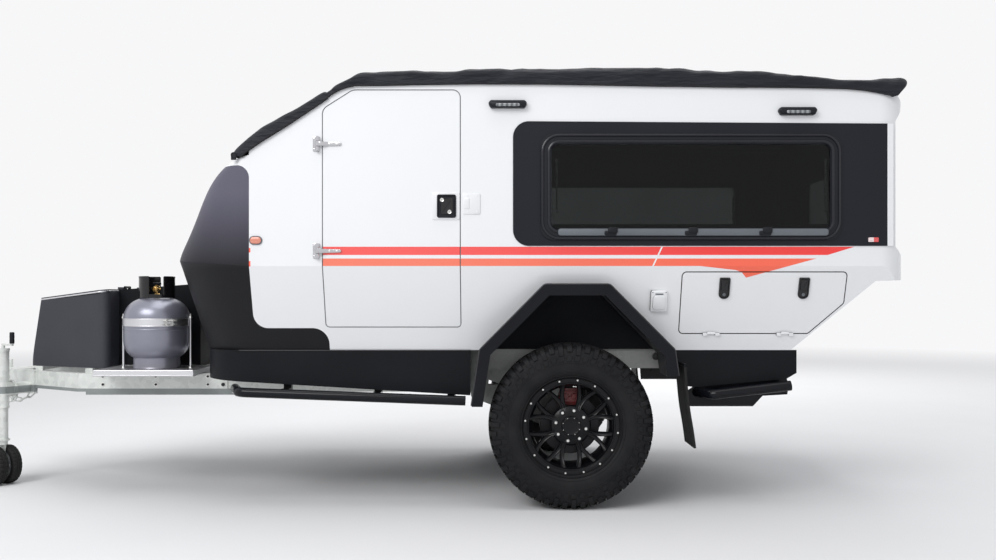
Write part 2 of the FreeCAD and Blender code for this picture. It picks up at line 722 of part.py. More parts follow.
def build_door_fittings(parts):
    """Strap hinges turning on one upright line ahead of the door, the handle and its plates."""
    pin_x = st(DOOR_FRONT - HINGE_SETBACK)
    pin_y = -(BODY_HALF + HINGE_STANDOFF)
    straps, leaves = [], []
    for z in HINGE_HEIGHTS:
        knuckle = rod(V(pin_x, pin_y, z - 12), V(pin_x, pin_y, z + 12), 9)
        strap = box(pin_x, st(DOOR_FRONT + 95), -BODY_HALF - 8, -BODY_HALF, z - 13, z + 13)
        neck = box(pin_x, st(DOOR_FRONT) + 30, pin_y - 4, -BODY_HALF, z - 12, z + 12)
        clear = box(pin_x - 30, st(DOOR_FRONT) + DOOR_GAP, -BODY_HALF - 5, -BODY_HALF + 10, z - 20, z + 20)
        bore = rod(V(pin_x, pin_y, z - 40), V(pin_x, pin_y, z + 40), 4.3)
        straps.append(fuse([knuckle, neck, strap]).cut(clear).cut(bore))
        pin = rod(V(pin_x, pin_y, z - 36), V(pin_x, pin_y, z + 36), 4)
        plate = box(pin_x - 22, pin_x + 10, -BODY_HALF - 4, -BODY_HALF, z - 36, z + 36)
        for low in (z - 36, z + 13):
            ear = rod(V(pin_x, pin_y, low), V(pin_x, pin_y, low + 23), 9)
            ear = ear.fuse(box(pin_x - 9, pin_x + 9, pin_y, -BODY_HALF, low, low + 23))
            plate = plate.fuse(ear)
        leaves.append(plate.fuse(pin).removeSplitter())
    parts["door_hinge_straps"] = Part.makeCompound(straps)
    parts["door_hinge_leaves"] = Part.makeCompound(leaves)

    handle_x = st(DOOR_REAR) - 80
    handle_z = 1500.0
    plate = box(handle_x - 70, handle_x + 66, -BODY_HALF - 5, -BODY_HALF, handle_z - 68, handle_z + 68)
    dish = box(handle_x - 46, handle_x + 46, -BODY_HALF - 12, -BODY_HALF - 5, handle_z - 56, handle_z + 56)
    recess = box(handle_x - 30, handle_x + 20, -BODY_HALF - 13, -BODY_HALF - 6, handle_z - 44, handle_z + 44)
    paddle = box(handle_x - 28, handle_x + 10, -BODY_HALF - 10, -BODY_HALF - 5.5, handle_z - 38, handle_z + 38)
    parts["door_handle"] = fuse([plate, dish.cut(recess), paddle])
    parts["strike_plate"] = box(st(DOOR_REAR) + 8, st(DOOR_REAR) + 96, -BODY_HALF - 5, -BODY_HALF,
                                handle_z - 52, handle_z + 52)


def build_locker_latches(parts):
    """Two black pull latches near the top edge of each hatch, lying on its slope."""
    lean = math.degrees(math.atan(TUCK / (CREASE_Z - BODY_BOTTOM)))
    latches = []
    for station in (760.0, 1152.0):
        points = [(-26, -52, 24), (-26, 52, 4), (26, 52, 4), (26, -52, 24)]
        latch = slab(points, "xz", -9, 0)
        latch.rotate(V(0, 0, 0), V(1, 0, 0), lean)
        z = LOCKER_TOP - 82
        latch.translate(V(st(station), -(BODY_HALF - tuck_at(z)), z))
        latches.append(latch)
    left = Part.makeCompound(latches)
    parts["locker_latches_left"] = left
    parts["locker_latches_right"] = mirrored(left)


def build_flares(parts, outer):
    inside = FLARE_DEPTH - FLARE_OUT
    band = slab(arch_outline(), "xz", -FLARE_OUT, inside)
    band = band.cut(slab(arch_opening(), "xz", -FLARE_OUT - 10, inside + 90))
    band = band.cut(box(st(-700), st(0), -FLARE_OUT - 170, inside + 190, 300, FLARE_FRONT_END))
    band = band.cut(box(st(0), st(700), -FLARE_OUT - 170, inside + 190, 300, FLARE_REAR_END))
    parts["arch_flares"] = pair(band.cut(outer))


def build_skirts(parts):
    """Black plates under the white body, wrapped round the nose and behind the wheels."""
    top = BODY_BOTTOM
    run = st(ARCH_FOOT_FRONT - 52) - st(NOSE_SPLIT)
    half = BODY_HALF - TUCK + SKIRT_PROUD
    front_x = st(SKIRT_FRONT)
    plan = [(st(NOSE_SPLIT), -half, 0), (st(NOSE_SPLIT), half, 0), (front_x + NOSE_CROWN, half, SKIRT_CORNER),
            (front_x, 0, NOSE_ARC), (front_x + NOSE_CROWN, -half, SKIRT_CORNER)]
    shell = slab(plan, "xy", 500, top)
    plan_in = inset(plan, SKIRT_SHEET)
    plan_in[0] = (st(NOSE_SPLIT) + 5, plan_in[0][1], 0)
    plan_in[1] = (st(NOSE_SPLIT) + 5, plan_in[1][1], 0)
    shell = shell.cut(slab(plan_in, "xy", 490, top + 10))
    straight = [shell]
    for sign in (-1, 1):
        near, far = sign * (half - SKIRT_SHEET), sign * half
        straight.append(box(st(NOSE_SPLIT), st(NOSE_SPLIT) + run, min(near, far), max(near, far), 500, top))
    slope = [
        (st(-2300), SKIRT_FRONT_Z + 30), (st(ARCH_FOOT_FRONT), SKIRT_ARCH_Z),
        (st(ARCH_FOOT_FRONT), 300), (st(-2300), 300),
    ]
    below = slab(sharp(slope), "xz", -BODY_HALF - 220, BODY_HALF + 220)
    notch = box(st(-2300), st(-1500), -NOSE_CORNER - 190, NOSE_CORNER + 190, 400, 690)
    front = fuse(straight).cut(below).cut(notch)
    foot = st(ARCH_FOOT_REAR)
    rear_side = [
        (foot + 3, top), (st(1150), top), (st(1150), 658), (st(1099), 628), (st(635), SKIRT_REAR_Z),
        (st(FLAP_STATION) + 46, SKIRT_REAR_Z + 4), (st(FLAP_STATION) + 26, FLAP_TOP + 2), (foot + 14, FLAP_TOP + 2),
    ]
    flush = BODY_HALF - TUCK
    plate = slab(sharp(rear_side), "xz", -flush, -flush + SKIRT_SHEET)
    parts["skirt_front"] = front
    parts["skirts_rear"] = pair(plate)


def build_step_tubes(parts):
    radius = STEP_TUBE / 2.0
    y = -(BODY_HALF - 25)
    z_front, z_rear = 572.0, 530.0
    tube = swept_tube([
        V(st(-1700), y + 165, z_front + 4), V(st(-1640), y, z_front), V(st(-520), y, z_rear),
    ], 60, radius, 3)
    brackets = []
    for station in (-1450.0, -980.0, -600.0):
        share = (station + 1640.0) / (1640.0 - 520.0)
        z = z_front + (z_rear - z_front) * share
        arm = box(st(station) - 20, st(station) + 20, y + radius - 3, -RAIL_HALF_GAUGE + 25, z - 6, z + 6)
        hanger = box(st(station) - 20, st(station) + 20, -RAIL_HALF_GAUGE - 10, -RAIL_HALF_GAUGE + 25,
                     z - 6, BODY_BOTTOM - RAIL_HEIGHT)
        brackets.append(arm.fuse(hanger))
    solid = fuse([tube] + brackets)
    parts["step_tubes"] = pair(solid)


def build_stone_bars(parts):
    """Short bars on plates under the rear skirts."""
    radius = 25.0
    y = -(BODY_HALF - 60)
    skin = BODY_HALF - TUCK - 29
    bar = swept_tube([V(st(650), y + 110, 560), V(st(705), y, 556), V(st(1095), y, 602)], 45, radius, 3)
    side = [(595, 560), (650, 600), (1105, 640), (1116, 592), (1110, 547), (985, 540), (935, 487), (600, 487)]
    plate = slab(sharp([(st(u), v) for u, v in side]), "xz", -skin - 6, -skin + 2)
    ties = []
    for station, z in ((760.0, 562.0), (1040.0, 596.0)):
        ties.append(box(st(station) - 20, st(station) + 20, y + radius - 4, -skin, z - 6, z + 6))
    hangers = []
    for station in (700.0, 1020.0):
        hangers.append(box(st(station) - 25, st(station) + 25, -skin, -RAIL_HALF_GAUGE + 20, 600, 612))
        hangers.append(box(st(station) - 25, st(station) + 25, -RAIL_HALF_GAUGE - 8, -RAIL_HALF_GAUGE + 20,
                           600, BODY_BOTTOM - RAIL_HEIGHT))
    parts["stone_bars"] = pair(fuse([bar, plate] + ties + hangers))


def hollow_rail(x0, x1, y, z0, height, width):
    """A rectangular hollow section along X."""
    whole = box(x0, x1, y - width / 2, y + width / 2, z0, z0 + height)
    bore = box(x0 - 1, x1 + 1, y - width / 2 + RAIL_WALL, y + width / 2 - RAIL_WALL, z0 + RAIL_WALL,
               z0 + height - RAIL_WALL)
    return whole.cut(bore)


def build_chassis(parts):
    z0 = BODY_BOTTOM - RAIL_HEIGHT
    inner = RAIL_HALF_GAUGE - RAIL_WIDTH / 2
    rails = [hollow_rail(st(RAIL_FRONT), st(RAIL_REAR), s * RAIL_HALF_GAUGE, z0, RAIL_HEIGHT, RAIL_WIDTH)
             for s in (-1, 1)]
    beams = []
    for station in (-1450.0, -700.0, 0.0, 1000.0):
        beams.append(box(st(station) - 25, st(station) + 25, -inner, inner, DRAWBAR_TOP, BODY_BOTTOM - RAIL_WALL))
    hangers = []
    for sign in (-1, 1):
        for y in (sign * (RAIL_HALF_GAUGE - 32), sign * (RAIL_HALF_GAUGE + 28)):
            plate = [(-535, z0 + 30), (-400, z0 + 30), (-415, 520), (-455, 490), (-495, 520)]
            hangers.append(slab(sharp([(st(u), v) for u, v in plate]), "xz", y - 4, y + 4))
        low_y, high_y = sorted((sign * (RAIL_HALF_GAUGE - 36), sign * (RAIL_HALF_GAUGE + 32)))
        hangers.append(box(st(-520), st(-415), low_y, high_y, z0 - 8, z0))
    wide = RAIL_HALF_GAUGE + 100
    pin_hole = rod(V(st(PIVOT_X), -wide, PIVOT_Z), V(st(PIVOT_X), wide, PIVOT_Z), PIVOT_PIN_RADIUS + 0.2)
    side_holes = []
    for sign in (-1, 1):
        near, far = sorted((sign * RAIL_HALF_GAUGE, sign * wide))
        level = BODY_BOTTOM - RAIL_HEIGHT * 0.38
        side_holes.append(rod(V(st(RAIL_HOLE), near, level), V(st(RAIL_HOLE), far, level), RAIL_HOLE_RADIUS))
    parts["chassis_frame"] = fuse(rails + beams + hangers).cut(Part.makeCompound([pin_hole] + side_holes))


def drawbar_rail():
    half = DRAWBAR_WIDTH / 2
    g = DRAWBAR_HALF_GAUGE
    line = [
        (st(DRAWBAR_REAR), -g - half), (st(DRAWBAR_BEND), -g - half), (st(DRAWBAR_NOSE), -DRAWBAR_NOSE_HALF - half),
        (st(DRAWBAR_NOSE), -DRAWBAR_NOSE_HALF + half), (st(DRAWBAR_BEND) + 15, -g + half),
        (st(DRAWBAR_REAR), -g + half),
    ]
    return slab(sharp(line), "xy", DRAWBAR_TOP - DRAWBAR_HEIGHT, DRAWBAR_TOP)


def build_drawbar(parts):
    rail = drawbar_rail()
    outside = -DRAWBAR_HALF_GAUGE - DRAWBAR_WIDTH / 2
    plate = box(st(-2600), st(-1830), outside - 6, outside, DRAWBAR_TOP - 82, DRAWBAR_TOP)
    flange = box(st(-2600), st(-1765), outside - 6, outside, DRAWBAR_TOP - DRAWBAR_HEIGHT - 16,
                 DRAWBAR_TOP - 82)
    cross = []
    for station in (-2480.0, -2100.0, -1700.0):
        cross.append(box(st(station) - 20, st(station) + 20, outside + DRAWBAR_WIDTH, -outside - DRAWBAR_WIDTH,
                         DRAWBAR_TOP - 90, DRAWBAR_TOP - 6))
    bearers = []
    for station, half in ((-2960.0, 232.0), (-2600.0, 420.0)):
        bearers.append(box(st(station) - 20, st(station) + 20, -half, half, DRAWBAR_TOP, BOX_BOTTOM))
    bearers.append(box(st(-2120), st(-2080), -NECK_HALF, NECK_HALF, DRAWBAR_TOP - 6, BOX_BOTTOM))
    nose = box(st(DRAWBAR_NOSE), st(DRAWBAR_NOSE + 140), -DRAWBAR_NOSE_HALF, DRAWBAR_NOSE_HALF,
               DRAWBAR_TOP - 8, DRAWBAR_TOP)
    sides = [rail, plate, flange]
    parts["drawbar"] = fuse(sides + [mirrored(s) for s in sides] + cross + bearers + [nose])


def build_coupling(parts):
    """Ball coupling on the drawbar's nose plate, with its lever."""
    front = st(-AXLE_TO_COUPLING)
    back = st(DRAWBAR_NOSE)
    z = DRAWBAR_TOP - COUPLING_DROP
    head = slab([(front, -50, 40), (back - 60, -50, 0), (back, -70, 0), (back, 70, 0), (back - 60, 50, 0),
                 (front, 50, 40)], "xy", z - 30, z + 34)
    ball_x = front + 62
    socket = Part.makeSphere(25.4, V(ball_x, 0, z - 6))
    throat = rod(V(ball_x, 0, z - 6), V(ball_x, 0, z - 40), 25.4)
    base = box(back - 6, back, -DRAWBAR_NOSE_HALF - 25, DRAWBAR_NOSE_HALF + 25, DRAWBAR_TOP - DRAWBAR_HEIGHT,
               DRAWBAR_TOP)
    lever = box(ball_x + 20, ball_x + 150, -8, 8, z + 34, z + 48)
    grip = box(ball_x + 130, ball_x + 152, -8, 8, z + 40, z + 92)
    parts["coupling"] = fuse([head, base, lever, grip]).cut(socket).cut(throat)


def chain_link(length):
    """One flat-sided link: a ring of the given inside length, drawn along X in the XY plane about the origin."""
    a, b = length / 2 + CHAIN_BAR, CHAIN_WIDTH / 2
    outer = [(a, -b / 2), (a, b / 2), (a - b / 2, b), (b / 2 - a, b), (-a, b / 2), (-a, -b / 2), (b / 2 - a, -b),
             (a - b / 2, -b)]
    t = CHAIN_BAR / 2
    ring = slab(sharp(outer), "xy", -t, t)
    return ring.cut(slab(inset(sharp(outer), CHAIN_BAR), "xy", -t - 1, t + 1))


def build_chains(parts):
    """Two safety chains: links stood crosswise in turn along a sagging line, with the lugs at its ends."""
    low = DRAWBAR_TOP - DRAWBAR_HEIGHT
    head_low = DRAWBAR_TOP - COUPLING_DROP - 30
    share = (CHAIN_REAR - DRAWBAR_NOSE) / (DRAWBAR_BEND - DRAWBAR_NOSE)
    rear_y = DRAWBAR_NOSE_HALF + share * (DRAWBAR_HALF_GAUGE - DRAWBAR_NOSE_HALF)
    rear = V(st(CHAIN_REAR), -rear_y, low - CHAIN_LUG_DROP)
    front = V(st(CHAIN_FRONT), -CHAIN_FRONT_Y, head_low - CHAIN_LUG_DROP)
    hole = CHAIN_BAR * 0.735
    pieces = []
    for at, top in ((rear, low), (front, head_low)):
        plate = box(at.x - 16, at.x + 16, at.y - CHAIN_LUG / 2, at.y + CHAIN_LUG / 2, at.z - 14, top)
        pieces.append(plate.cut(rod(at - V(0, 20, 0), at + V(0, 20, 0), hole)))

    steps = 400
    line = []
    for k in range(steps + 1):
        u = k / steps
        line.append(rear + (front - rear) * u - V(0, 0, CHAIN_SAG * 4 * u * (1 - u)))
    runs = [0.0]
    for k in range(steps):
        runs.append(runs[-1] + (line[k + 1] - line[k]).Length)

    def on_line(run):
        for k in range(steps):
            if runs[k + 1] >= run:
                return line[k] + (line[k + 1] - line[k]) * ((run - runs[k]) / (runs[k + 1] - runs[k]))
        return line[-1]

    # Neighbours bear on each other inside their bends, so the pitch is the inside length less the bearing's depth.
    pitch = (runs[-1] + CHAIN_BEARING - CHAIN_BAR) / CHAIN_LINKS
    inside = pitch - CHAIN_BEARING
    for k in range(CHAIN_LINKS):
        first = CHAIN_BAR / 2 + k * pitch
        start, end = on_line(first), on_line(first + inside)
        along = (end - start).normalize()
        across = along.cross(V(0, 1, 0)).normalize()
        if k % 2 == 0:
            across = along.cross(across)
        up = along.cross(across)
        middle = (start + end) * 0.5
        link = chain_link(inside)
        link.transformShape(FreeCAD.Matrix(along.x, across.x, up.x, middle.x, along.y, across.y, up.y, middle.y,
                                           along.z, across.z, up.z, middle.z, 0, 0, 0, 1))
        pieces.append(link)
    parts["safety_chains"] = pair(fuse(pieces))


def toolbox_plan():
    return [
        (st(BOX_FRONT), -BOX_FRONT_HALF, 40),
        (st(BOX_REAR), -BOX_REAR_HALF, 40),
        (st(BOX_REAR), BOX_REAR_HALF, 40),
        (st(BOX_FRONT), BOX_FRONT_HALF, 40),
    ]


def build_toolbox(parts):
    """Wedge-shaped box over the drawbar, and the narrower box that runs back from its rear wall to the nose."""
    top = NECK_TOP_REAR + 20
    wedge = slab(toolbox_plan(), "xy", BOX_BOTTOM, top)
    side = [
        (st(BOX_FRONT), BOX_BOTTOM), (st(BOX_FRONT) + BOX_RAKE, BOX_FRONT_TOP),
        (st(BOX_REAR), BOX_REAR_TOP), (st(BOX_REAR), BOX_BOTTOM),
    ]
    wedge = wedge.common(slab(sharp(side), "xz", -600, 600))
    inner_plan = inset(toolbox_plan(), BOX_SHEET)
    cavity = slab(inner_plan, "xy", BOX_BOTTOM + BOX_SHEET, top)
    side_in = [
        (st(BOX_FRONT) + BOX_SHEET, BOX_BOTTOM), (st(BOX_FRONT) + BOX_RAKE + BOX_SHEET, BOX_FRONT_TOP),
        (st(BOX_FRONT) + BOX_RAKE + BOX_SHEET, top), (st(BOX_REAR), top), (st(BOX_REAR), BOX_BOTTOM),
    ]
    cavity = cavity.common(slab(sharp(side_in), "xz", -600, 600))
    neck_side = [
        (st(BOX_REAR), BOX_BOTTOM), (st(BOX_REAR), BOX_REAR_TOP + 4), (st(NECK_REAR), NECK_TOP_REAR),
        (st(NECK_REAR), BOX_BOTTOM),
    ]
    neck = slab(sharp(neck_side), "xz", -NECK_HALF, NECK_HALF)
    hollow = inset(sharp(neck_side), BOX_SHEET)
    hollow[0] = (st(BOX_REAR) - 10, hollow[0][1], 0)
    hollow[1] = (st(BOX_REAR) - 10, hollow[1][1], 0)
    neck_in = slab(hollow, "xz", -NECK_HALF + BOX_SHEET, NECK_HALF - BOX_SHEET)
    slope = math.atan((BOX_REAR_TOP - BOX_FRONT_TOP) / (BOX_REAR - BOX_FRONT - BOX_RAKE))
    lid_cut = slab(sharp([
        (st(BOX_FRONT) - 60, BOX_FRONT_TOP - 8 - math.tan(slope) * (60 + BOX_RAKE)),
        (st(BOX_REAR) + 3, BOX_REAR_TOP - 8 + math.tan(slope) * 3),
        (st(BOX_REAR) + 3, top + 60), (st(BOX_FRONT) - 60, top + 60),
    ]), "xz", -600, 600)
    parts["toolbox"] = wedge.cut(cavity).cut(lid_cut)
    hinge = V(st(BOX_REAR) + 8, 0, BOX_REAR_TOP + 19)
    ears, knuckles = [], []
    for y in (-170.0, 130.0):
        knuckle = rod(V(hinge.x, y, hinge.z), V(hinge.x, y + 40, hinge.z), 6)
        knuckle = knuckle.fuse(box(st(BOX_REAR) - 40, hinge.x, y, y + 40, hinge.z - 6, hinge.z))
        knuckles.append(knuckle.fuse(box(st(BOX_REAR) - 40, st(BOX_REAR) - 10, y, y + 40, BOX_REAR_TOP - 2, hinge.z)))
        for low in (y - 21, y + 41):
            ear = rod(V(hinge.x, low, hinge.z), V(hinge.x, low + 20, hinge.z), 6)
            ears.append(ear.fuse(box(hinge.x - 6, hinge.x + 6, low, low + 20, BOX_REAR_TOP - 2, hinge.z)))
        ears.append(rod(V(hinge.x, y - 21, hinge.z), V(hinge.x, y + 61, hinge.z), 3))
    parts["toolbox_neck"] = fuse([neck.cut(neck_in)] + ears)

    lid_plan = toolbox_plan()
    lid_plan[0] = (st(BOX_FRONT) + BOX_RAKE - 12, -BOX_FRONT_HALF - 24, 45)
    lid_plan[3] = (st(BOX_FRONT) + BOX_RAKE - 12, BOX_FRONT_HALF + 24, 45)
    lid_plan[1] = (st(BOX_REAR) - 8, -BOX_REAR_HALF - 2, 40)
    lid_plan[2] = (st(BOX_REAR) - 8, BOX_REAR_HALF + 2, 40)
    base = BOX_FRONT_TOP - 7.7
    lid_side = [
        (st(BOX_FRONT) + BOX_RAKE - 20, base - math.tan(slope) * 20),
        (st(BOX_REAR) - 8, BOX_REAR_TOP - 7.7),
        (st(BOX_REAR) - 8, BOX_REAR_TOP - 7.7 + LID_THICKNESS),
        (st(BOX_FRONT) + BOX_RAKE - 20, base - math.tan(slope) * 20 + LID_THICKNESS),
    ]
    lid = slab(lid_plan, "xy", BOX_BOTTOM, top).common(slab(sharp(lid_side), "xz", -600, 600))
    bore = rod(V(hinge.x, -300, hinge.z), V(hinge.x, 300, hinge.z), 3.3)
    parts["toolbox_lid"] = fuse([lid] + knuckles).cut(bore)


def build_bottles(parts):
    """Steel gas bottles with foot ring, shroud and valve, strapped on folded trays."""
    radius = BOTTLE_DIAMETER / 2
    x = st(BOTTLE_STATION)
    foot = TRAY_TOP + BOTTLE_FOOT
    crown = foot + BOTTLE_HEIGHT
    body = revolve_z([(0, foot, 0), (radius * 0.62, foot, 105), (radius, foot + 62, 105), (radius, crown - 80, 110),
                      (radius * 0.62, crown, 105), (0, crown, 0)], x, -BOTTLE_Y)
    ring_r = radius * 0.70
    ring = revolve_z([(ring_r - 4, TRAY_TOP, 0), (ring_r, TRAY_TOP, 0), (ring_r, foot + 16, 0),
                      (ring_r - 4, foot + 16, 0)], x, -BOTTLE_Y)
    shroud_r = radius * 0.54
    shroud = revolve_z([(shroud_r - 4, crown - 6, 0), (shroud_r, crown - 6, 0), (shroud_r, crown + BOTTLE_COLLAR, 0),
                        (shroud_r - 4, crown + BOTTLE_COLLAR, 0)], x, -BOTTLE_Y)
    gap = box(x - 14, x + 62, -BOTTLE_Y - 200, -BOTTLE_Y - 20, crown + 10, crown + BOTTLE_COLLAR + 5)
    valve = rod(V(x, -BOTTLE_Y, crown - 4), V(x, -BOTTLE_Y, crown + 58), 14)
    knob = rod(V(x, -BOTTLE_Y, crown + 60), V(x, -BOTTLE_Y, crown + 78), 22)
    outlet = rod(V(x, -BOTTLE_Y, crown + 40), V(x, -BOTTLE_Y - 44, crown + 40), 15)
    valve = fuse([valve, outlet, knob, rod(V(x, -BOTTLE_Y, crown + 50), V(x, -BOTTLE_Y, crown + 62), 6)])
    bottle = fuse([body, ring, shroud.cut(gap), valve])
    parts["gas_bottles"] = pair(bottle)

    inner_y = -BOTTLE_Y + TRAY_HALF_WIDTH
    outer_y = -BOTTLE_Y - TRAY_HALF_WIDTH
    tray = box(st(TRAY_FRONT), st(TRAY_REAR), outer_y, inner_y, DRAWBAR_TOP, TRAY_TOP)
    tray = tray.cut(box(st(TRAY_FRONT) + 3, st(TRAY_REAR) - 3, outer_y + 3, inner_y - 3, DRAWBAR_TOP - 10, TRAY_TOP - 3))
    band_z = TRAY_TOP + 228
    strap = revolve_z([(radius + 0.3, band_z, 0), (radius + 3.3, band_z, 0), (radius + 3.3, band_z + 42, 0),
                       (radius + 0.3, band_z + 42, 0)], x, -BOTTLE_Y)
    rods = []
    for dx in (-radius - 9, radius + 9):
        rods.append(rod(V(x + dx, -BOTTLE_Y, TRAY_TOP - 3), V(x + dx, -BOTTLE_Y, band_z + 42), 6))
    parts["bottle_holders"] = pair(fuse([tray, strap] + rods))


def tyre_profile(y):
    """Section of a tyre from bead to bead about the wheel's centre plane, with the two grooves round its tread."""
    top = TYRE_DIAMETER / 2
    half = TYRE_WIDTH / 2
    rib = half * 0.30
    groove = TREAD_GROOVE
    flange = RIM_FLANGE_DIAMETER / 2
    seat = flange - FLANGE_HEIGHT + 0.3
    bead = RIM_WIDTH / 2 - FLANGE_THICKNESS - 0.3
    right = [
        (top, rib, 0), (top - TREAD_DEPTH, rib + 2, 0), (top - TREAD_DEPTH, rib + groove - 2, 0), (top, rib + groove, 0),
        (top, half - 32, 0), (top - 5, half - 20, 0), (top - 15, half - 11, 0), (top - 48, half - 4, 0),
        (top - 85, half, 0), (flange + 34, half, 26), (flange + 4, bead, 6), (seat, bead, 0),
        (seat, bead - 18, 0), (flange + 22, bead - 20, 0), (top - 28, half * 0.6, 0),
    ]
    return [(r, y + w, c) for r, w, c in right] + [(r, y - w, c) for r, w, c in reversed(right)]


def tread_slots(x, y, z):
    """Cross slots over both shoulders that part the tread into lugs, half a lug apart from side to side."""
    top = TYRE_DIAMETER / 2
    half = TYRE_WIDTH / 2
    edge = half * 0.30 + TREAD_GROOVE - 1
    slots = []
    for sign in (-1, 1):
        slot = slab(sharp([
            (y + sign * edge, z + top - TREAD_DEPTH), (y + sign * (half - 26), z + top - TREAD_DEPTH),
            (y + sign * (half - 4), z + top - 46), (y + sign * (half + 6), z + top + 5), (y + sign * edge, z + top + 5),
        ]), "yz", x - TREAD_SLOT / 2, x + TREAD_SLOT / 2)
        for k in range(TREAD_LUGS):
            copy = slot.copy()
            copy.rotate(V(x, y, z), V(0, 1, 0), 360.0 * (k + 0.25 * sign) / TREAD_LUGS)
            slots.append(copy)
    return Part.makeCompound(slots)


def build_wheel(parts, side, sign):
    """One wheel: tyre, eight-spoke rim and brake disc, turning on its spindle."""
    y = sign * TRACK / 2
    x, z = st(0), TYRE_DIAMETER / 2
    parts["tyre_" + side] = revolve_y(tyre_profile(y), x, z).cut(tread_slots(x, y, z))

    flange = RIM_FLANGE_DIAMETER / 2
    seat = flange - FLANGE_HEIGHT
    well = seat - 22
    ring = flange - LIP_RING
    half = RIM_WIDTH / 2
    lip = half - FLANGE_THICKNESS
    face = y + sign * (half - 42)

    def out(d):
        return y + sign * d

    barrel = [
        (flange, half), (flange, lip), (seat, lip), (seat, 60), (well, 44), (well, -58), (seat, -76), (seat, -lip),
        (flange, -lip), (flange, -half), (flange - 9, -half), (seat - 7, -lip + 2), (seat - 7, -80), (well - 7, -62),
        (well - 7, 40), (ring, 56), (ring, half),
    ]
    rim = revolve_y([(r, out(w), 0) for r, w in barrel], x, z)
    bore_r = SPINDLE_RADIUS + SPINDLE_GAP
    plate = revolve_y([
        (bore_r, face - sign * 26, 0), (bore_r, face - sign * 2, 0), (92, face - sign * 2, 0),
        (ring + 2, face + sign * 20, 0), (ring + 2, face - sign * 2, 0), (92, face - sign * 26, 0),
    ], x, z)
    cuts = []
    for k in range(SPOKES):
        angle = 360.0 * k / SPOKES
        window = slab([(x - 46, z + 196, 14), (x + 46, z + 196, 14), (x + 19, z + 106, 10), (x - 19, z + 106, 10)],
                      "xz", y - 200, y + 200)
        window.rotate(V(x, 0, z), V(0, 1, 0), angle)
        cuts.append(window)
        slot = slab(sharp([(x - 15, z + 198), (x + 15, z + 198), (x + 3, z + 140), (x - 3, z + 140)]),
                    "xz", y - 200, y + 200)
        slot.rotate(V(x, 0, z), V(0, 1, 0), angle + 180.0 / SPOKES)
        cuts.append(slot)
    plate = plate.cut(Part.makeCompound(cuts))
    cap = rod(V(x, face - sign * 2, z), V(x, face + sign * 34, z), 46)
    bolts = []
    for k in range(WHEEL_BOLTS):
        a = 2 * math.pi * (k + 0.5) / WHEEL_BOLTS
        bx = x + math.cos(a) * WHEEL_BOLT_CIRCLE / 2
        bz = z + math.sin(a) * WHEEL_BOLT_CIRCLE / 2
        bolts.append(rod(V(bx, face - sign * 4, bz), V(bx, face + sign * 16, bz), 9))
    hub = rod(V(x, face - sign * 26, z), V(x, face - sign * 90, z), 72)
    bore = rod(V(x, face - sign * 2, z), V(x, face - sign * 200, z), SPINDLE_RADIUS + SPINDLE_GAP)
    parts["rim_" + side] = fuse([rim, plate, cap, hub] + bolts).cut(bore)

    disc_y = face - sign * 90
    disc = rod(V(x, disc_y, z), V(x, disc_y - sign * DISC_THICKNESS, z), DISC_DIAMETER / 2)
    parts["brake_disc_" + side] = disc.cut(rod(V(x, disc_y + sign * 5, z), V(x, disc_y - sign * 60, z),
                                               SPINDLE_RADIUS + SPINDLE_GAP))
    return face


def build_suspension(parts, face):
    """Trailing arms with spindles, air springs and callipers, built on the near side."""
    z = TYRE_DIAMETER / 2
    x = st(0)
    pivot = V(st(PIVOT_X), 0, PIVOT_Z)
    gauge = RAIL_HALF_GAUGE
    arm_y0, arm_y1 = -gauge - 18, -gauge + 22
    side = [
        (pivot.x - 35, pivot.z - 35, 30), (pivot.x - 35, pivot.z + 35, 30), (x - 200, pivot.z + 20, 60),
        (x + 55, z + 55, 40), (x + 55, z - 55, 40), (x - 60, z - 55, 40),
    ]
    arm = slab(side, "xz", arm_y0, arm_y1)
    bushing = rod(V(pivot.x, -gauge - 23.5, pivot.z), V(pivot.x, -gauge + 27.5, pivot.z), 30)
    spindle = rod(V(x, arm_y0 + 5, z), V(x, face + 4, z), SPINDLE_RADIUS)
    stop = rod(V(x, arm_y0, z), V(x, arm_y0 - 12, z), 52)
    pin = rod(V(pivot.x, -gauge - 42, pivot.z), V(pivot.x, -gauge + 46, pivot.z), PIVOT_PIN_RADIUS)
    spring_x = st(-150)
    seat = 584.0
    pad = box(spring_x - 50, spring_x + 50, arm_y0, arm_y1, seat - 60, seat)
    arm = fuse([arm, bushing, spindle, stop, pin, pad])
    parts["trailing_arms"] = pair(arm)

    top = BODY_BOTTOM - RAIL_HEIGHT
    bellows = revolve_z([
        (0, seat, 0), (44, seat, 0), (56, seat + 24, 14), (46, (seat + top) / 2, 8), (56, top - 24, 14),
        (44, top, 0), (0, top, 0),
    ], spring_x, -gauge + 2)
    parts["air_springs"] = pair(bellows)

    disc_mid = face + 90 + DISC_THICKNESS / 2
    pads = slab(sharp([(x - 62, z + 96), (x - 48, z + 178), (x + 48, z + 178), (x + 62, z + 96)]), "xz",
                disc_mid - 38, disc_mid + 38)
    slot = slab(sharp([(x - 90, z + 60), (x - 90, z + 158), (x + 90, z + 158), (x + 90, z + 60)]), "xz",
                disc_mid - DISC_THICKNESS / 2 - 6, disc_mid + DISC_THICKNESS / 2 + 6)
    bracket = slab(sharp([(x - 30, z + 53), (x - 30, z + 120), (x + 30, z + 120), (x + 30, z + 53)]), "xz",
                   disc_mid + 24, arm_y0)
    caliper = pads.cut(slot)
    parts["brake_calipers"] = pair(fuse([caliper, bracket]))


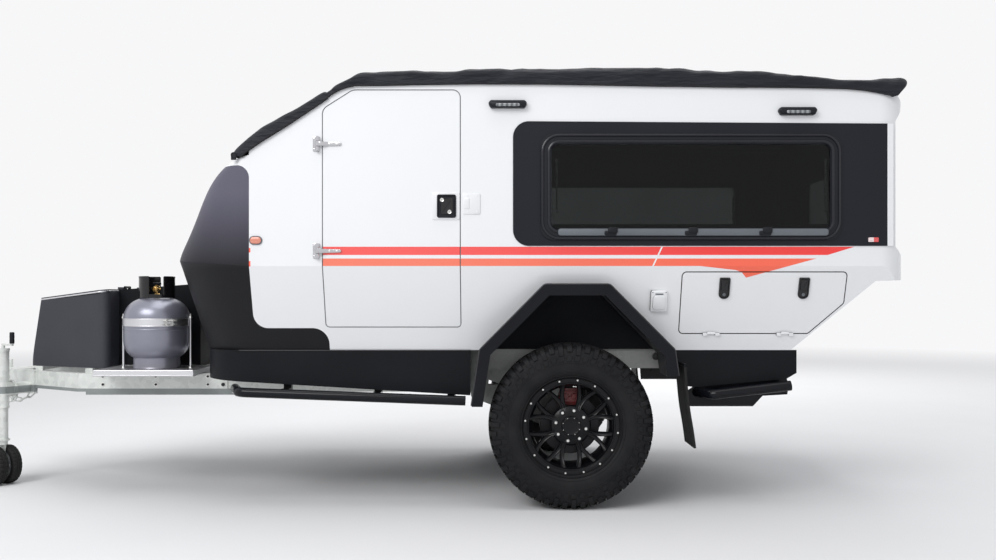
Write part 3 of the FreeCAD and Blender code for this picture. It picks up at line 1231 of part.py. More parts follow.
def build_mud_flaps(parts):
    x = st(FLAP_STATION)
    side = [(x, FLAP_TOP), (x + FLAP_SHEET, FLAP_TOP), (x + 84, 316), (x + 58, 306), (x + 44, 330)]
    out = -(BODY_HALF + 25)
    flap = slab(sharp(side), "xz", out, out + 240)
    bracket = box(x, x + FLAP_SHEET, out, -RAIL_HALF_GAUGE - RAIL_WIDTH / 2, FLAP_TOP, FLAP_TOP + 16)
    half = BODY_HALF - TUCK
    bracket = bracket.cut(box(x - 50, x + 50, -half, -half + SKIRT_SHEET, FLAP_TOP - 50, FLAP_TOP + 50))
    parts["mud_flaps"] = pair(flap)
    parts["flap_brackets"] = pair(bracket)


def on_rail(shape):
    """Carry a piece drawn with X along the near rail and -Y out of it to its place on the trailer."""
    run = V(DRAWBAR_BEND - DRAWBAR_NOSE, DRAWBAR_NOSE_HALF - DRAWBAR_HALF_GAUGE, 0)
    angle = math.degrees(math.atan2(run.y, run.x))
    run.normalize()
    shape.rotate(V(0, 0, 0), V(0, 0, 1), angle)
    shape.translate(V(st(DRAWBAR_NOSE), -DRAWBAR_NOSE_HALF, 0) + run * JOCKEY_ALONG)
    return shape


def build_jockey(parts):
    """Bracket and outer tube of the twin jockey wheels: the tube swings back beside the rail."""
    z = JOCKEY_PIVOT_Z
    y = -JOCKEY_OUT
    r = JOCKEY_TUBE / 2
    low, top = z - 105, z + 215
    plate = box(-60, 60, -31, -10, z - 36, DRAWBAR_TOP - 4)
    stub = rod(V(0, -29, z), V(0, -118, z), 34)
    flange = rod(V(0, -116, z), V(0, -126, z), 46)
    pin = rod(V(0, -124, z), V(0, -140, z), JOCKEY_PIN)
    bracket = fuse([plate, stub, flange, pin])
    parts["jockey_bracket"] = on_rail(bracket).cut(drawbar_rail())

    tube = pipe(V(0, y, low), V(0, y, top), r, 4)
    disc = rod(V(0, -126.4, z), V(0, -134, z), 44)
    cheek = box(-34, 34, y, -133, z - 34, z + 34).cut(rod(V(0, y, low), V(0, y, top), r - 2))
    bore = rod(V(0, -120, z), V(0, -141, z), JOCKEY_PIN + 0.3)
    cap = rod(V(0, y, top), V(0, y, top + 10), r + 3)
    crank = [
        rod(V(0, y, top + 10), V(0, y, top + 26), 9),
        box(-8, 90, y - 6, y + 6, top + 26, top + 36),
        rod(V(84, y, top + 36), V(84, y, top + 100), 11),
    ]
    parts["jockey_outer"] = on_rail(fuse([tube, disc, cheek, cap] + crank).cut(bore))


def build_jockey_leg(parts):
    """Winding leg in the outer tube, the castor yoke under it and the two wheels on its axle."""
    y = -JOCKEY_OUT
    r = JOCKEY_TUBE / 2 - 4.5
    wheel_r = JOCKEY_WHEEL_DIAMETER / 2
    crown_z = wheel_r * 2 + 8
    leg = pipe(V(0, y, crown_z + 30), V(0, y, JOCKEY_PIVOT_Z + 45), r, 4)
    foot = rod(V(0, y, crown_z + 22), V(0, y, crown_z + 32), r + 9)
    stem = rod(V(0, y, crown_z + 2), V(0, y, crown_z + 24), 10)
    parts["jockey_leg"] = on_rail(fuse([leg, foot, stem]))

    hub_x = -JOCKEY_TRAIL
    crown = rod(V(0, y, crown_z), V(0, y, crown_z + 21), 24)
    web = slab(sharp([(-24, crown_z), (20, crown_z), (hub_x + 18, wheel_r), (hub_x, wheel_r - 18),
                      (hub_x - 18, wheel_r)]), "xz", y - 6, y + 6)
    socket = rod(V(0, y, crown_z - 1), V(0, y, crown_z + 40), 10.3)
    reach = JOCKEY_SPACING / 2 + JOCKEY_WHEEL_WIDTH / 2 + 4
    axle = rod(V(hub_x, y - reach, wheel_r), V(hub_x, y + reach, wheel_r), 8)
    parts["jockey_fork"] = on_rail(fuse([crown, web, axle]).cut(socket))

    wheels = []
    w = JOCKEY_WHEEL_WIDTH / 2
    for sign in (-1, 1):
        c = y + sign * JOCKEY_SPACING / 2
        half = [(8.3, w, 0), (26, w, 0), (30, w - 12, 0), (wheel_r - 34, w - 12, 0), (wheel_r - 28, w, 0),
                (wheel_r - 6, w, 5), (wheel_r, w - 10, 5)]
        section = [(q, c + v, k) for q, v, k in half] + [(q, c - v, k) for q, v, k in reversed(half)]
        wheels.append(revolve_y(section, hub_x, wheel_r))
    parts["jockey_wheels"] = on_rail(Part.makeCompound(wheels))


def cover_top():
    """Upper line of the canvas cover in side view, its heights given from the roof's crown."""
    front = [(-1671, -354), (-1628, -300), (-1577, -256), (-1430, -168), (-1332, -114), (-1222, -44)]
    rear = [(COVER_JOIN, -36), (-1087, 16), (-1037, 37), (-841, 51), (337, 70), (926, 54), (1368, 26),
            (1579, 21), (1640, 6), (1653, -8)]
    return [[(u, ROOF_CROWN_Z + v) for u, v in line] for line in (front, rear)]


def build_cover(parts):
    """Rolled-down canvas over the slope and the roof: plain closed solids of its outer form."""
    front, rear = cover_top()
    half = BODY_HALF + COVER_OVERHANG
    hard = [
        (st(-1720), BODY_BOTTOM), (st(-1720), NOSE_TOP_Z + COVER_CLEAR),
        (st(NOSE_SPLIT), NOSE_TOP_Z + COVER_CLEAR), (st(NOSE_SPLIT), slope_z(NOSE_SPLIT) + COVER_CLEAR),
        (st(SLOPE_TOP), ROOF_FRONT_Z + COVER_CLEAR + 1), (st(350), ROOF_CROWN_Z + COVER_CLEAR + 1),
        (st(1578), ROOF_REAR_Z + COVER_CLEAR + 2), (st(1800), ROOF_REAR_Z - 96), (st(1800), BODY_BOTTOM),
    ]
    hard = slab(sharp(hard), "xz", -BODY_HALF - COVER_CLEAR, BODY_HALF + COVER_CLEAR)
    joint = COVER_JOIN - 8
    slope_part = front + [
        (joint, ROOF_CROWN_Z - 44), (joint, slope_z(joint) - 22), (SLOPE_FOOT, NOSE_TOP_Z - 2),
        (SLOPE_FOOT - 23, NOSE_TOP_Z + 2),
    ]
    roof_part = rear + [
        (1572, ROOF_REAR_Z - 30), (350, ROOF_CROWN_Z - 22), (SLOPE_TOP, ROOF_FRONT_Z - 22),
        (COVER_JOIN, slope_z(COVER_JOIN) - 22),
    ]
    for name, line in (("cover_slope", slope_part), ("cover_roof", roof_part)):
        solid = slab(sharp([(st(u), v) for u, v in line]), "xz", -half, half)
        parts[name] = solid.cut(hard)


def build_lamps(parts):
    lamps = []
    for station, z in ((-312.0, ROOF_CROWN_Z - 120), (1107.0, ROOF_CROWN_Z - 154)):
        lamp = slab([(st(station) - 96, z - 19, 18), (st(station) - 96, z + 19, 18), (st(station) + 96, z + 19, 18),
                     (st(station) + 96, z - 19, 18)], "xz", -BODY_HALF - 34, -BODY_HALF)
        lamps.append(lamp)
    parts["scene_lamps"] = pair(Part.makeCompound(lamps))
    low, high = CREASE_Z + 108, CREASE_Z + 144
    marker = slab([(st(-1577), low, 8), (st(-1577), high, 8), (st(-1520), high, 8), (st(-1520), low, 8)], "xz",
                  -BODY_HALF - 12, -BODY_HALF)
    skin = BODY_HALF + SURROUND_THICKNESS
    reflector = box(st(1456), st(1506), -skin - 8, -skin, SURROUND_BOTTOM + 19, SURROUND_BOTTOM + 41)
    tail = box(st(REAR_WALL), st(REAR_WALL) + 26, -BODY_HALF + 80, -BODY_HALF + 340, CREASE_Z + 126, CREASE_Z + 206)
    parts["marker_lamps"] = pair(Part.makeCompound([marker, reflector, tail]))
    inlet_z = 1024.0
    lean = math.degrees(math.atan(TUCK / (CREASE_Z - BODY_BOTTOM)))
    inlet = slab([(-42, -52, 8), (-42, 52, 8), (42, 52, 8), (42, -52, 8)], "xz", -16, 0)
    inlet.rotate(V(0, 0, 0), V(1, 0, 0), lean)
    inlet.translate(V(st(438), -(BODY_HALF - tuck_at(inlet_z)), inlet_z))
    parts["power_inlet"] = inlet


def build_interior(parts, inner):
    """Bed base on a bulkhead behind the doorway, with its mattress."""
    wide = BODY_HALF + 20
    panel = box(st(-300), st(1600), -wide, wide, 1182, 1200)
    bulkhead = box(st(-300), st(-282), -wide, wide, BODY_BOTTOM, 1182)
    well = side_slab(arch_opening(WELL_SHEET), -WELL_INNER)
    parts["bed_base"] = fuse([panel, bulkhead]).common(inner).cut(well).cut(mirrored(well))
    half = BODY_HALF - 65
    plan = [(st(-270), -half, 80), (st(-270), half, 80), (st(1500), half, 80), (st(1500), -half, 80)]
    parts["mattress"] = slab(plan, "xy", 1200.3, 1312)


def main():
    parts = {}
    inner, outer = build_cabin(parts)
    build_windows(parts)
    build_door_fittings(parts)
    build_locker_latches(parts)
    build_flares(parts, outer)
    build_skirts(parts)
    build_step_tubes(parts)
    build_stone_bars(parts)
    build_chassis(parts)
    build_drawbar(parts)
    build_coupling(parts)
    build_chains(parts)
    build_toolbox(parts)
    build_bottles(parts)
    face = build_wheel(parts, "left", -1)
    build_wheel(parts, "right", 1)
    build_suspension(parts, face)
    build_mud_flaps(parts)
    build_jockey(parts)
    build_jockey_leg(parts)
    build_cover(parts)
    build_lamps(parts)
    build_interior(parts, inner)

    os.makedirs("parts", exist_ok=True)
    for name, shape in parts.items():
        solids = shape.Solids
        print(name, len(solids), round(shape.Volume / 1e6, 2), shape.isValid())
        keep = solids[0] if len(solids) == 1 else Part.makeCompound(solids)
        keep.exportStep("parts/" + name + ".step")


main()
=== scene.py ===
"""Looks for an off-road teardrop camper trailer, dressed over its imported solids."""
import json
import math

import bmesh
import bpy
import numpy as np
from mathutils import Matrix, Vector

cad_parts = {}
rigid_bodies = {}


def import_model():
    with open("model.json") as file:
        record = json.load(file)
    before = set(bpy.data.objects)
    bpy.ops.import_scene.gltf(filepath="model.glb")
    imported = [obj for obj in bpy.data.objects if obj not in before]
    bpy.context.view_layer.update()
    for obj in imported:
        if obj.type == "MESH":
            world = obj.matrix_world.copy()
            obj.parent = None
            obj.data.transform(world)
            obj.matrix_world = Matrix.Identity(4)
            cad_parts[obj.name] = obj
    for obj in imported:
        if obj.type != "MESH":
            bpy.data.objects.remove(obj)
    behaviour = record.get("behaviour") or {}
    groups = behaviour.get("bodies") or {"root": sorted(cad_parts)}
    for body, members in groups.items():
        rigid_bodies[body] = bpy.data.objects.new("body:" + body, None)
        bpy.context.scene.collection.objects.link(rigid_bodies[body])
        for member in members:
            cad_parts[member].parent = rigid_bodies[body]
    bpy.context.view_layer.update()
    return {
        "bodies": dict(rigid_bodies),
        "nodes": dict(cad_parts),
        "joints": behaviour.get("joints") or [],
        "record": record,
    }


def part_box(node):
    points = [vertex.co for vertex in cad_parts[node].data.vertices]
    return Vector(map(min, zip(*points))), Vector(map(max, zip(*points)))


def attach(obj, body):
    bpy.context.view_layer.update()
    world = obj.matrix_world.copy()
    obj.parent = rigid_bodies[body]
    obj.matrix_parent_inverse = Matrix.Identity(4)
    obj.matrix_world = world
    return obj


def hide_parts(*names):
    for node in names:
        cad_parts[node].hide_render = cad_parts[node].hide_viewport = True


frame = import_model()
NODES = frame["nodes"]
scene = bpy.context.scene
scene.view_settings.view_transform = "Standard"

# Driving places, in metres: the axle, the body's half width, its crease and how the side tucks in under it
AXLE = 0.887
HALF = 0.980
CREASE = 1.194
TUCK_IN, TUCK_DROP = 0.145, 0.420

# Directions: out of the tucked side and of the near side, upwards, and along the trailer
TUCK_OUT = (0, -0.945, -0.326)
NEAR_OUT = (0, -1, 0)
UPWARDS = (0, 0, 1)
ALONG_X = (1, 0, 0)

TAU = 2 * math.pi

# The camera, and the side drawing: its middle column and row, and the size of a unit on the near side
# and on the hems
FRAME_WIDTH = 996.0
CAMERA = (0.5275, -5.82, 1.052)
COLUMN, ROW = 498.0, 295.0
UNIT, HEM_UNIT = 0.004909, 0.004897


def st(station):
    """X in metres of a station in millimetres from the axle."""
    return AXLE + station / 1000.0


def px_x(column):
    """X on the near side for a column of the side drawing."""
    return CAMERA[0] + (column - COLUMN) * UNIT


def mm(*rows):
    """Rows of numbers in millimetres, as metres."""
    return np.array(rows, float) / 1000.0


# Shader sums

def signs(operation):
    """The plain and the reflected form of one Math node."""
    def plain(self, other=0.0):
        return self.finish.maths(operation, self, other)

    def reflected(self, other):
        return self.finish.maths(operation, other, self)

    return plain, reflected


class Wire:
    """A socket that can stand in a sum: every sign adds the Math node that works it out."""

    def __init__(self, finish, socket):
        self.finish = finish
        self.socket = socket

    __add__, __radd__ = signs("ADD")
    __sub__, __rsub__ = signs("SUBTRACT")
    __mul__, __rmul__ = signs("MULTIPLY")
    __truediv__ = signs("DIVIDE")[0]
    __gt__, __lt__ = signs("GREATER_THAN")[0], signs("LESS_THAN")[0]
    __abs__ = signs("ABSOLUTE")[0]
    power, least, most = signs("POWER")[0], signs("MINIMUM")[0], signs("MAXIMUM")[0]
    wave, part = signs("SINE")[0], signs("FRACT")[0]

    def span(self, low, high):
        """0 at low, 1 at high, straight between and held outside."""
        return self.finish.read("MapRange", {"clamp": True}, {"Value": self, "From Min": low, "From Max": high})


class Finish:
    """The nodes of one named material, read on Object coordinates, or of the world."""

    def __init__(self, name, store=bpy.data.materials, output="OutputMaterial"):
        self.material = store.new(name)
        self.material.use_nodes = True
        self.tree = self.material.node_tree
        self.tree.nodes.clear()
        self.output = self.node(output)
        self.place = self.read("TexCoord", out="Object")
        split = self.node("SeparateXYZ", None, {"Vector": self.place})
        self.x, self.y, self.z = (Wire(self, split.outputs[k]) for k in "XYZ")

    def node(self, kind, settings=None, values=None):
        """Any shader node: its settings first, then the values or wires of its sockets."""
        node = self.tree.nodes.new("ShaderNode" + kind)
        for key, setting in (settings or {}).items():
            setattr(node, key, setting)
        for key, value in (values or {}).items():
            socket = node.inputs[key]
            if isinstance(value, Wire):
                self.tree.links.new(value.socket, socket)
            elif hasattr(value, "__len__") and socket.type == "RGBA":
                socket.default_value = (*value, 1)
            else:
                socket.default_value = value
        return node

    def read(self, kind, settings=None, values=None, out=0):
        return Wire(self, self.node(kind, settings, values).outputs[out])

    def maths(self, operation, first, second):
        return self.read("Math", {"operation": operation}, {0: first, 1: second})

    def noise(self, scale, detail=2.0, stretch=None, roughness=0.5):
        vector = self.place
        if stretch:
            vector = self.read("Mapping", None, {"Vector": vector, "Scale": stretch})
        return self.read("TexNoise", None, {"Vector": vector, "Scale": scale, "Detail": detail,
                                            "Roughness": roughness})

    def cells(self, scale, out="Distance"):
        return self.read("TexVoronoi", None, {"Vector": self.place, "Scale": scale}, out)

    def mixed(self, share, first, second):
        """Colour from first to second by share; 0, 6 and 7 are the Mix node's factor and two colours."""
        return self.read("Mix", {"data_type": "RGBA"}, {0: share, 6: first, 7: second}, 2)

    def bump(self, height, strength, distance=0.002):
        return self.read("Bump", None, {"Strength": strength, "Distance": distance, "Height": height})

    def drawing(self):
        """Column and row of the side drawing."""
        return (self.x - CAMERA[0]) / UNIT + COLUMN, ROW - (self.z - CAMERA[2]) / UNIT

    def inside(self):
        """1 on faces that look towards the cabin's middle: their normal times the place from it is under
        0."""
        face = self.read("TexCoord", out="Normal")
        away = self.read("VectorMath", {"operation": "SUBTRACT"}, {0: self.place, 1: (0.42, 0.0, 1.42)})
        return self.read("VectorMath", {"operation": "DOT_PRODUCT"}, {0: face, 1: away}, "Value") < 0.0

    def close(self, surface):
        self.tree.links.new(surface.socket, self.output.inputs["Surface"])
        return self.material

    def shade(self, **values):
        """Close the finish with a Principled shader; words take spaces for underscores."""
        named = {key.replace("_", " "): value for key, value in values.items()}
        return self.close(self.read("BsdfPrincipled", None, named, "BSDF"))


# Finishes

def stripe_masks(f):
    """Red and orange bands along the waist, cut by slanted ends, the orange one drawn down to a tip."""
    u, v = f.drawing()
    end = 255.5 - (u - 826.0) * 0.3053
    red = (v > 246.7) * (v < end.least(255.0)) * (u > 322.0)
    dip = (267.0 + (u - 709.0) * 0.111).most(270.0 + (u - 736.0) * 0.333)
    dip = dip.most(272.0 + (u - 742.0) * 1.12).most(266.0)
    back = 277.6 - (u - 747.0) * 0.275
    orange = (v > 258.5) * (v < dip.least(back)) * (u > 322.0)
    slash = abs(u - 662.0 + (v - 247.0) * 0.474) < 0.8
    stub = (u > 245.5) * (u < 250.5) * (((v > 248.0) * (v < 252.5)) + ((v > 261.0) * (v < 266.5)))
    keep = 1.0 - slash
    side = (f.y < -0.6) + (f.y > 0.6)
    # The last mask rises from column 430 to 720: less painted highlight on the bands towards the rear.
    return red * keep * side, orange * keep * side, stub * side, u.span(430.0, 720.0)


def gel_coat():
    """White body with its stripes, a faint ripple outside, and a felt grain inside darkened as painted shade of
    the dim cabin.
    """
    f = Finish("white_gel_coat")
    red, orange, stub, rear = stripe_masks(f)
    cloud = f.noise(1.3, 3.0)
    colour = f.mixed(cloud, (0.79, 0.80, 0.825), (0.83, 0.835, 0.85))
    # Painted highlight: red and orange are paler at the front end and full at the rear, mixed by the share
    # rear.
    colour = f.mixed(red, colour, f.mixed(rear, (0.88, 0.100, 0.093), (0.89, 0.037, 0.034)))
    colour = f.mixed(orange, colour, f.mixed(rear, (0.88, 0.200, 0.125), (0.93, 0.135, 0.072)))
    colour = f.mixed(stub, colour, (0.93, 0.135, 0.080))
    # Painted shade: faces that look towards the cabin's middle get a dark grey with a felt grain, standing for
    # the dim light inside; they are also rougher, bumpier and uncoated.
    inside_felt_and_shade, felt = f.inside(), f.noise(240.0, 4.0)
    colour = f.mixed(inside_felt_and_shade, colour, f.mixed(felt, (0.040, 0.041, 0.045), (0.085, 0.086, 0.092)))
    rise = f.noise(7.0, 2.0) * 0.9 + f.noise(420.0, 1.0) * 0.02 + inside_felt_and_shade * felt * 0.5
    return f.shade(Base_Color=colour, Roughness=0.2 + cloud * 0.08 + inside_felt_and_shade * 0.65,
                   Normal=f.bump(rise, 0.25, 0.0016), Coat_Weight=0.35 * (1.0 - inside_felt_and_shade), Coat_Roughness=0.08)


def coated(name, base, rough, grain, strength, gloss):
    """Moulded or sprayed plastic: fine stipple, and a faint paler tone mottled by noise."""
    f = Finish(name)
    speck, cloud = f.noise(grain, 3.0, roughness=0.65), f.noise(2.6, 4.0)
    light = tuple(c * 1.9 + 0.004 for c in base)
    colour = f.mixed((speck * 0.5 + cloud * 0.6).span(0.35, 0.9), base, light)
    return f.shade(Base_Color=colour, Roughness=rough + speck * 0.12, Normal=f.bump(speck, strength, 0.0012),
                   Specular_IOR_Level=gloss)


def guard_coat():
    """Stippled black coat on the nose, lightened towards the top by a painted sheen, with the white body bare
    above a line with a round rear corner.
    """
    f = Finish("black_guard_coat")
    u, v = f.drawing()
    corner = ((u - 236.0).most(0.0).power(2.0) + (178.0 - v).most(0.0).power(2.0)).power(0.5)
    bare = (corner > 13.0) * (v < 178.0)
    speck, cloud, dust = f.noise(430.0, 3.0, roughness=0.7), f.noise(2.2, 4.0), f.cells(160.0)
    colour = f.mixed((speck * 0.6 + cloud * 0.5).span(0.35, 0.9), (0.0035, 0.0036, 0.0046),
                     (0.009, 0.009, 0.0115))
    # Painted sheen: from row 262 upwards the coat is mixed towards a pale violet grey, broken by the stipple,
    # standing for sunlight glancing off its upper part.
    painted_sheen = (262.0 - v).span(-6.0, 70.0) * (0.75 + speck * 0.5)
    colour = f.mixed(painted_sheen, colour, (0.104, 0.100, 0.138))
    # Pale dust specks in small cells, shown only where the painted sheen lies, at half its share.
    colour = f.mixed((dust < 0.10) * painted_sheen * 0.5, colour, (0.11, 0.11, 0.13))
    colour = f.mixed(bare, colour, (0.80, 0.81, 0.83))
    coat = 1.0 - bare
    return f.shade(Base_Color=colour, Roughness=0.22 + coat * (0.22 + speck * 0.14),
                   Normal=f.bump(speck * coat, 0.55, 0.0014), Specular_IOR_Level=0.25)


def surround_coat():
    """Gloss black round the window, bluer and paler in places, and bare white body past its rear edge."""
    f = Finish("window_surround_coat")
    bare = f.x > px_x(887.2)
    fine, cloud = f.noise(300.0, 3.0), f.noise(2.1, 3.0, (1.0, 1.0, 0.35))
    colour = f.mixed((fine * 0.3 + cloud * 0.8).span(0.3, 0.85), (0.005, 0.0062, 0.01), (0.01, 0.0122, 0.019))
    colour = f.mixed(bare, colour, (0.81, 0.815, 0.84))
    return f.shade(Base_Color=colour, Roughness=0.30 + fine * 0.10 - bare * 0.08,
                   Normal=f.bump(fine, 0.15, 0.0010), Specular_IOR_Level=0.24)


def galvanised(name, level):
    """Zinc spangle in large pale cells, streaks down the sides, and painted shade darkening the lowest flange.
    """
    f = Finish(name)
    dull, pale, run, flange_shade_tone = (tuple(level * c for c in shade) for shade in (
        (0.54, 0.56, 0.54), (0.80, 0.82, 0.79), (0.86, 0.87, 0.83), (0.20, 0.22, 0.22)))
    tone = f.read("SeparateColor", None, {"Color": f.cells(38.0, "Color")})
    cloud, streak = f.noise(6.0, 4.0), f.noise(3.0, 3.0, (1, 1, 9))
    colour = f.mixed(tone * 0.45 + cloud * 0.4, dull, pale)
    colour = f.mixed(streak.span(0.58, 0.85) * 0.5, colour, run)
    # Painted shade: the lowest flange ahead of x -0.90 is mixed towards a dark grey green, with some noise,
    # standing for the shade under the body.
    flange_painted_shade = (f.z < 0.5435) * (f.z > 0.505) * (f.x < -0.90)
    colour = f.mixed(flange_painted_shade * (0.75 + cloud * 0.3), colour, flange_shade_tone)
    return f.shade(Base_Color=colour, Metallic=0.35, Roughness=0.40 + tone * 0.14,
                   Normal=f.bump(cloud, 0.15, 0.001))


def grained(name, dark, light, rough, vary, grain, cloud=None, span=None, bump=None, **shader):
    """Two tones mixed by soft noise, with a finer grain in the roughness and the height."""
    f = Finish(name)
    fine = f.noise(*grain)
    tone = f.noise(*cloud) if cloud else fine
    colour = f.mixed(tone.span(*span) if span else tone, dark, light)
    if bump:
        shader["Normal"] = f.bump(fine, *bump)
    return f.shade(Base_Color=colour, Roughness=rough + fine * vary, **shader)


def metal(name, base, rough, stretch=(1, 1, 1)):
    """Bare metal with a faint brushed grain."""
    return grained(name, tuple(c * 0.86 for c in base), base, rough, 0.12, (160.0, 2.0, stretch),
                   bump=(0.06, 0.0004), Metallic=1.0)


def bottle_enamel():
    f = Finish("grey_bottle_enamel")
    fine, cloud = f.noise(260.0, 2.0), f.noise(5.0, 3.0)
    colour = f.mixed(fine * 0.4 + cloud * 0.3, (0.205, 0.210, 0.260), (0.290, 0.295, 0.355))
    colour = f.mixed(f.z.span(0.72, 0.66) * cloud.span(0.35, 0.7) * 0.5, colour, (0.20, 0.17, 0.14))
    return f.shade(Base_Color=colour, Metallic=0.55, Roughness=0.31 + fine * 0.08,
                   Normal=f.bump(fine, 0.1, 0.0006), Coat_Weight=0.45, Coat_Roughness=0.2)


def canvas():
    """Plain weave as two crossing sine waves, slubs, and creases as noise stretched along a slant."""
    f = Finish("black_canvas")
    weave = (f.x * 2200.0).wave() * 0.5 + (f.y * 2200.0 + f.z * 1500.0).wave() * 0.5
    slub, worn, rise = f.noise(60.0, 3.0, (1, 6, 6)), f.noise(2.2, 4.0), f.noise(16.0, 4.0)
    colour = f.mixed(slub * 0.5 + worn * 0.5, (0.0024, 0.0030, 0.0056), (0.0110, 0.0125, 0.0205))
    slant = {"Vector": f.place, "Rotation": (0.0, 0.52, 0.0), "Scale": (3.0, 2.0, 15.0)}
    pull = f.read("TexNoise", None, {"Vector": f.read("Mapping", None, slant), "Scale": 2.2, "Detail": 3.0,
                                     "Roughness": 0.55})
    return f.shade(Base_Color=colour, Roughness=0.50 + slub * 0.16, Sheen_Weight=0.05, Sheen_Roughness=0.5,
                   Normal=f.bump(weave * 0.06 + rise * 1.2 + pull * 7.0 + slub * 0.2, 0.62, 0.004),
                   Specular_IOR_Level=0.29)


def mattress_cloth():
    f = Finish("mattress_cloth")
    weave, cloud = (f.x * 900.0).wave() * (f.y * 900.0).wave(), f.noise(30.0, 3.0)
    colour = f.mixed(cloud, (0.22, 0.22, 0.24), (0.34, 0.34, 0.37))
    return f.shade(Base_Color=colour, Roughness=0.85 + cloud * 0.08,
                   Normal=f.bump(weave * 0.3 + cloud, 0.4, 0.001))


def ribbed_lens():
    """Clear lamp cover over small bright cells."""
    f = Finish("clear_lamp_cover")
    cell, glint = abs((f.x * 42.0).part() - 0.5), f.noise(90.0, 2.0)
    colour = f.mixed(cell.span(0.05, 0.45), (0.34, 0.35, 0.36), (0.09, 0.10, 0.11))
    return f.shade(Base_Color=colour, Roughness=0.12 + glint * 0.14, Metallic=0.25,
                   Normal=f.bump(glint, 0.2, 0.0005), Coat_Weight=0.8)


def lamp_body():
    """Ribbed marker lamps: pale orange ahead, white and red by the rear window, dark red behind."""
    f = Finish("marker_lens")
    rib = (f.x * 900.0).wave() * 0.5 + 0.5
    back = f.x > st(1400)
    colour = f.mixed(back * (f.x < st(1481)), (0.70, 0.26, 0.18), (0.86, 0.70, 0.70))
    colour = f.mixed(back * (f.x > st(1481)), colour, (0.78, 0.09, 0.09))
    colour = f.mixed(f.x > st(1590), colour, (0.45, 0.01, 0.015))
    return f.shade(Base_Color=colour, Roughness=0.2 + rib * 0.1, Normal=f.bump(rib, 0.3, 0.0006),
                   Coat_Weight=0.6)


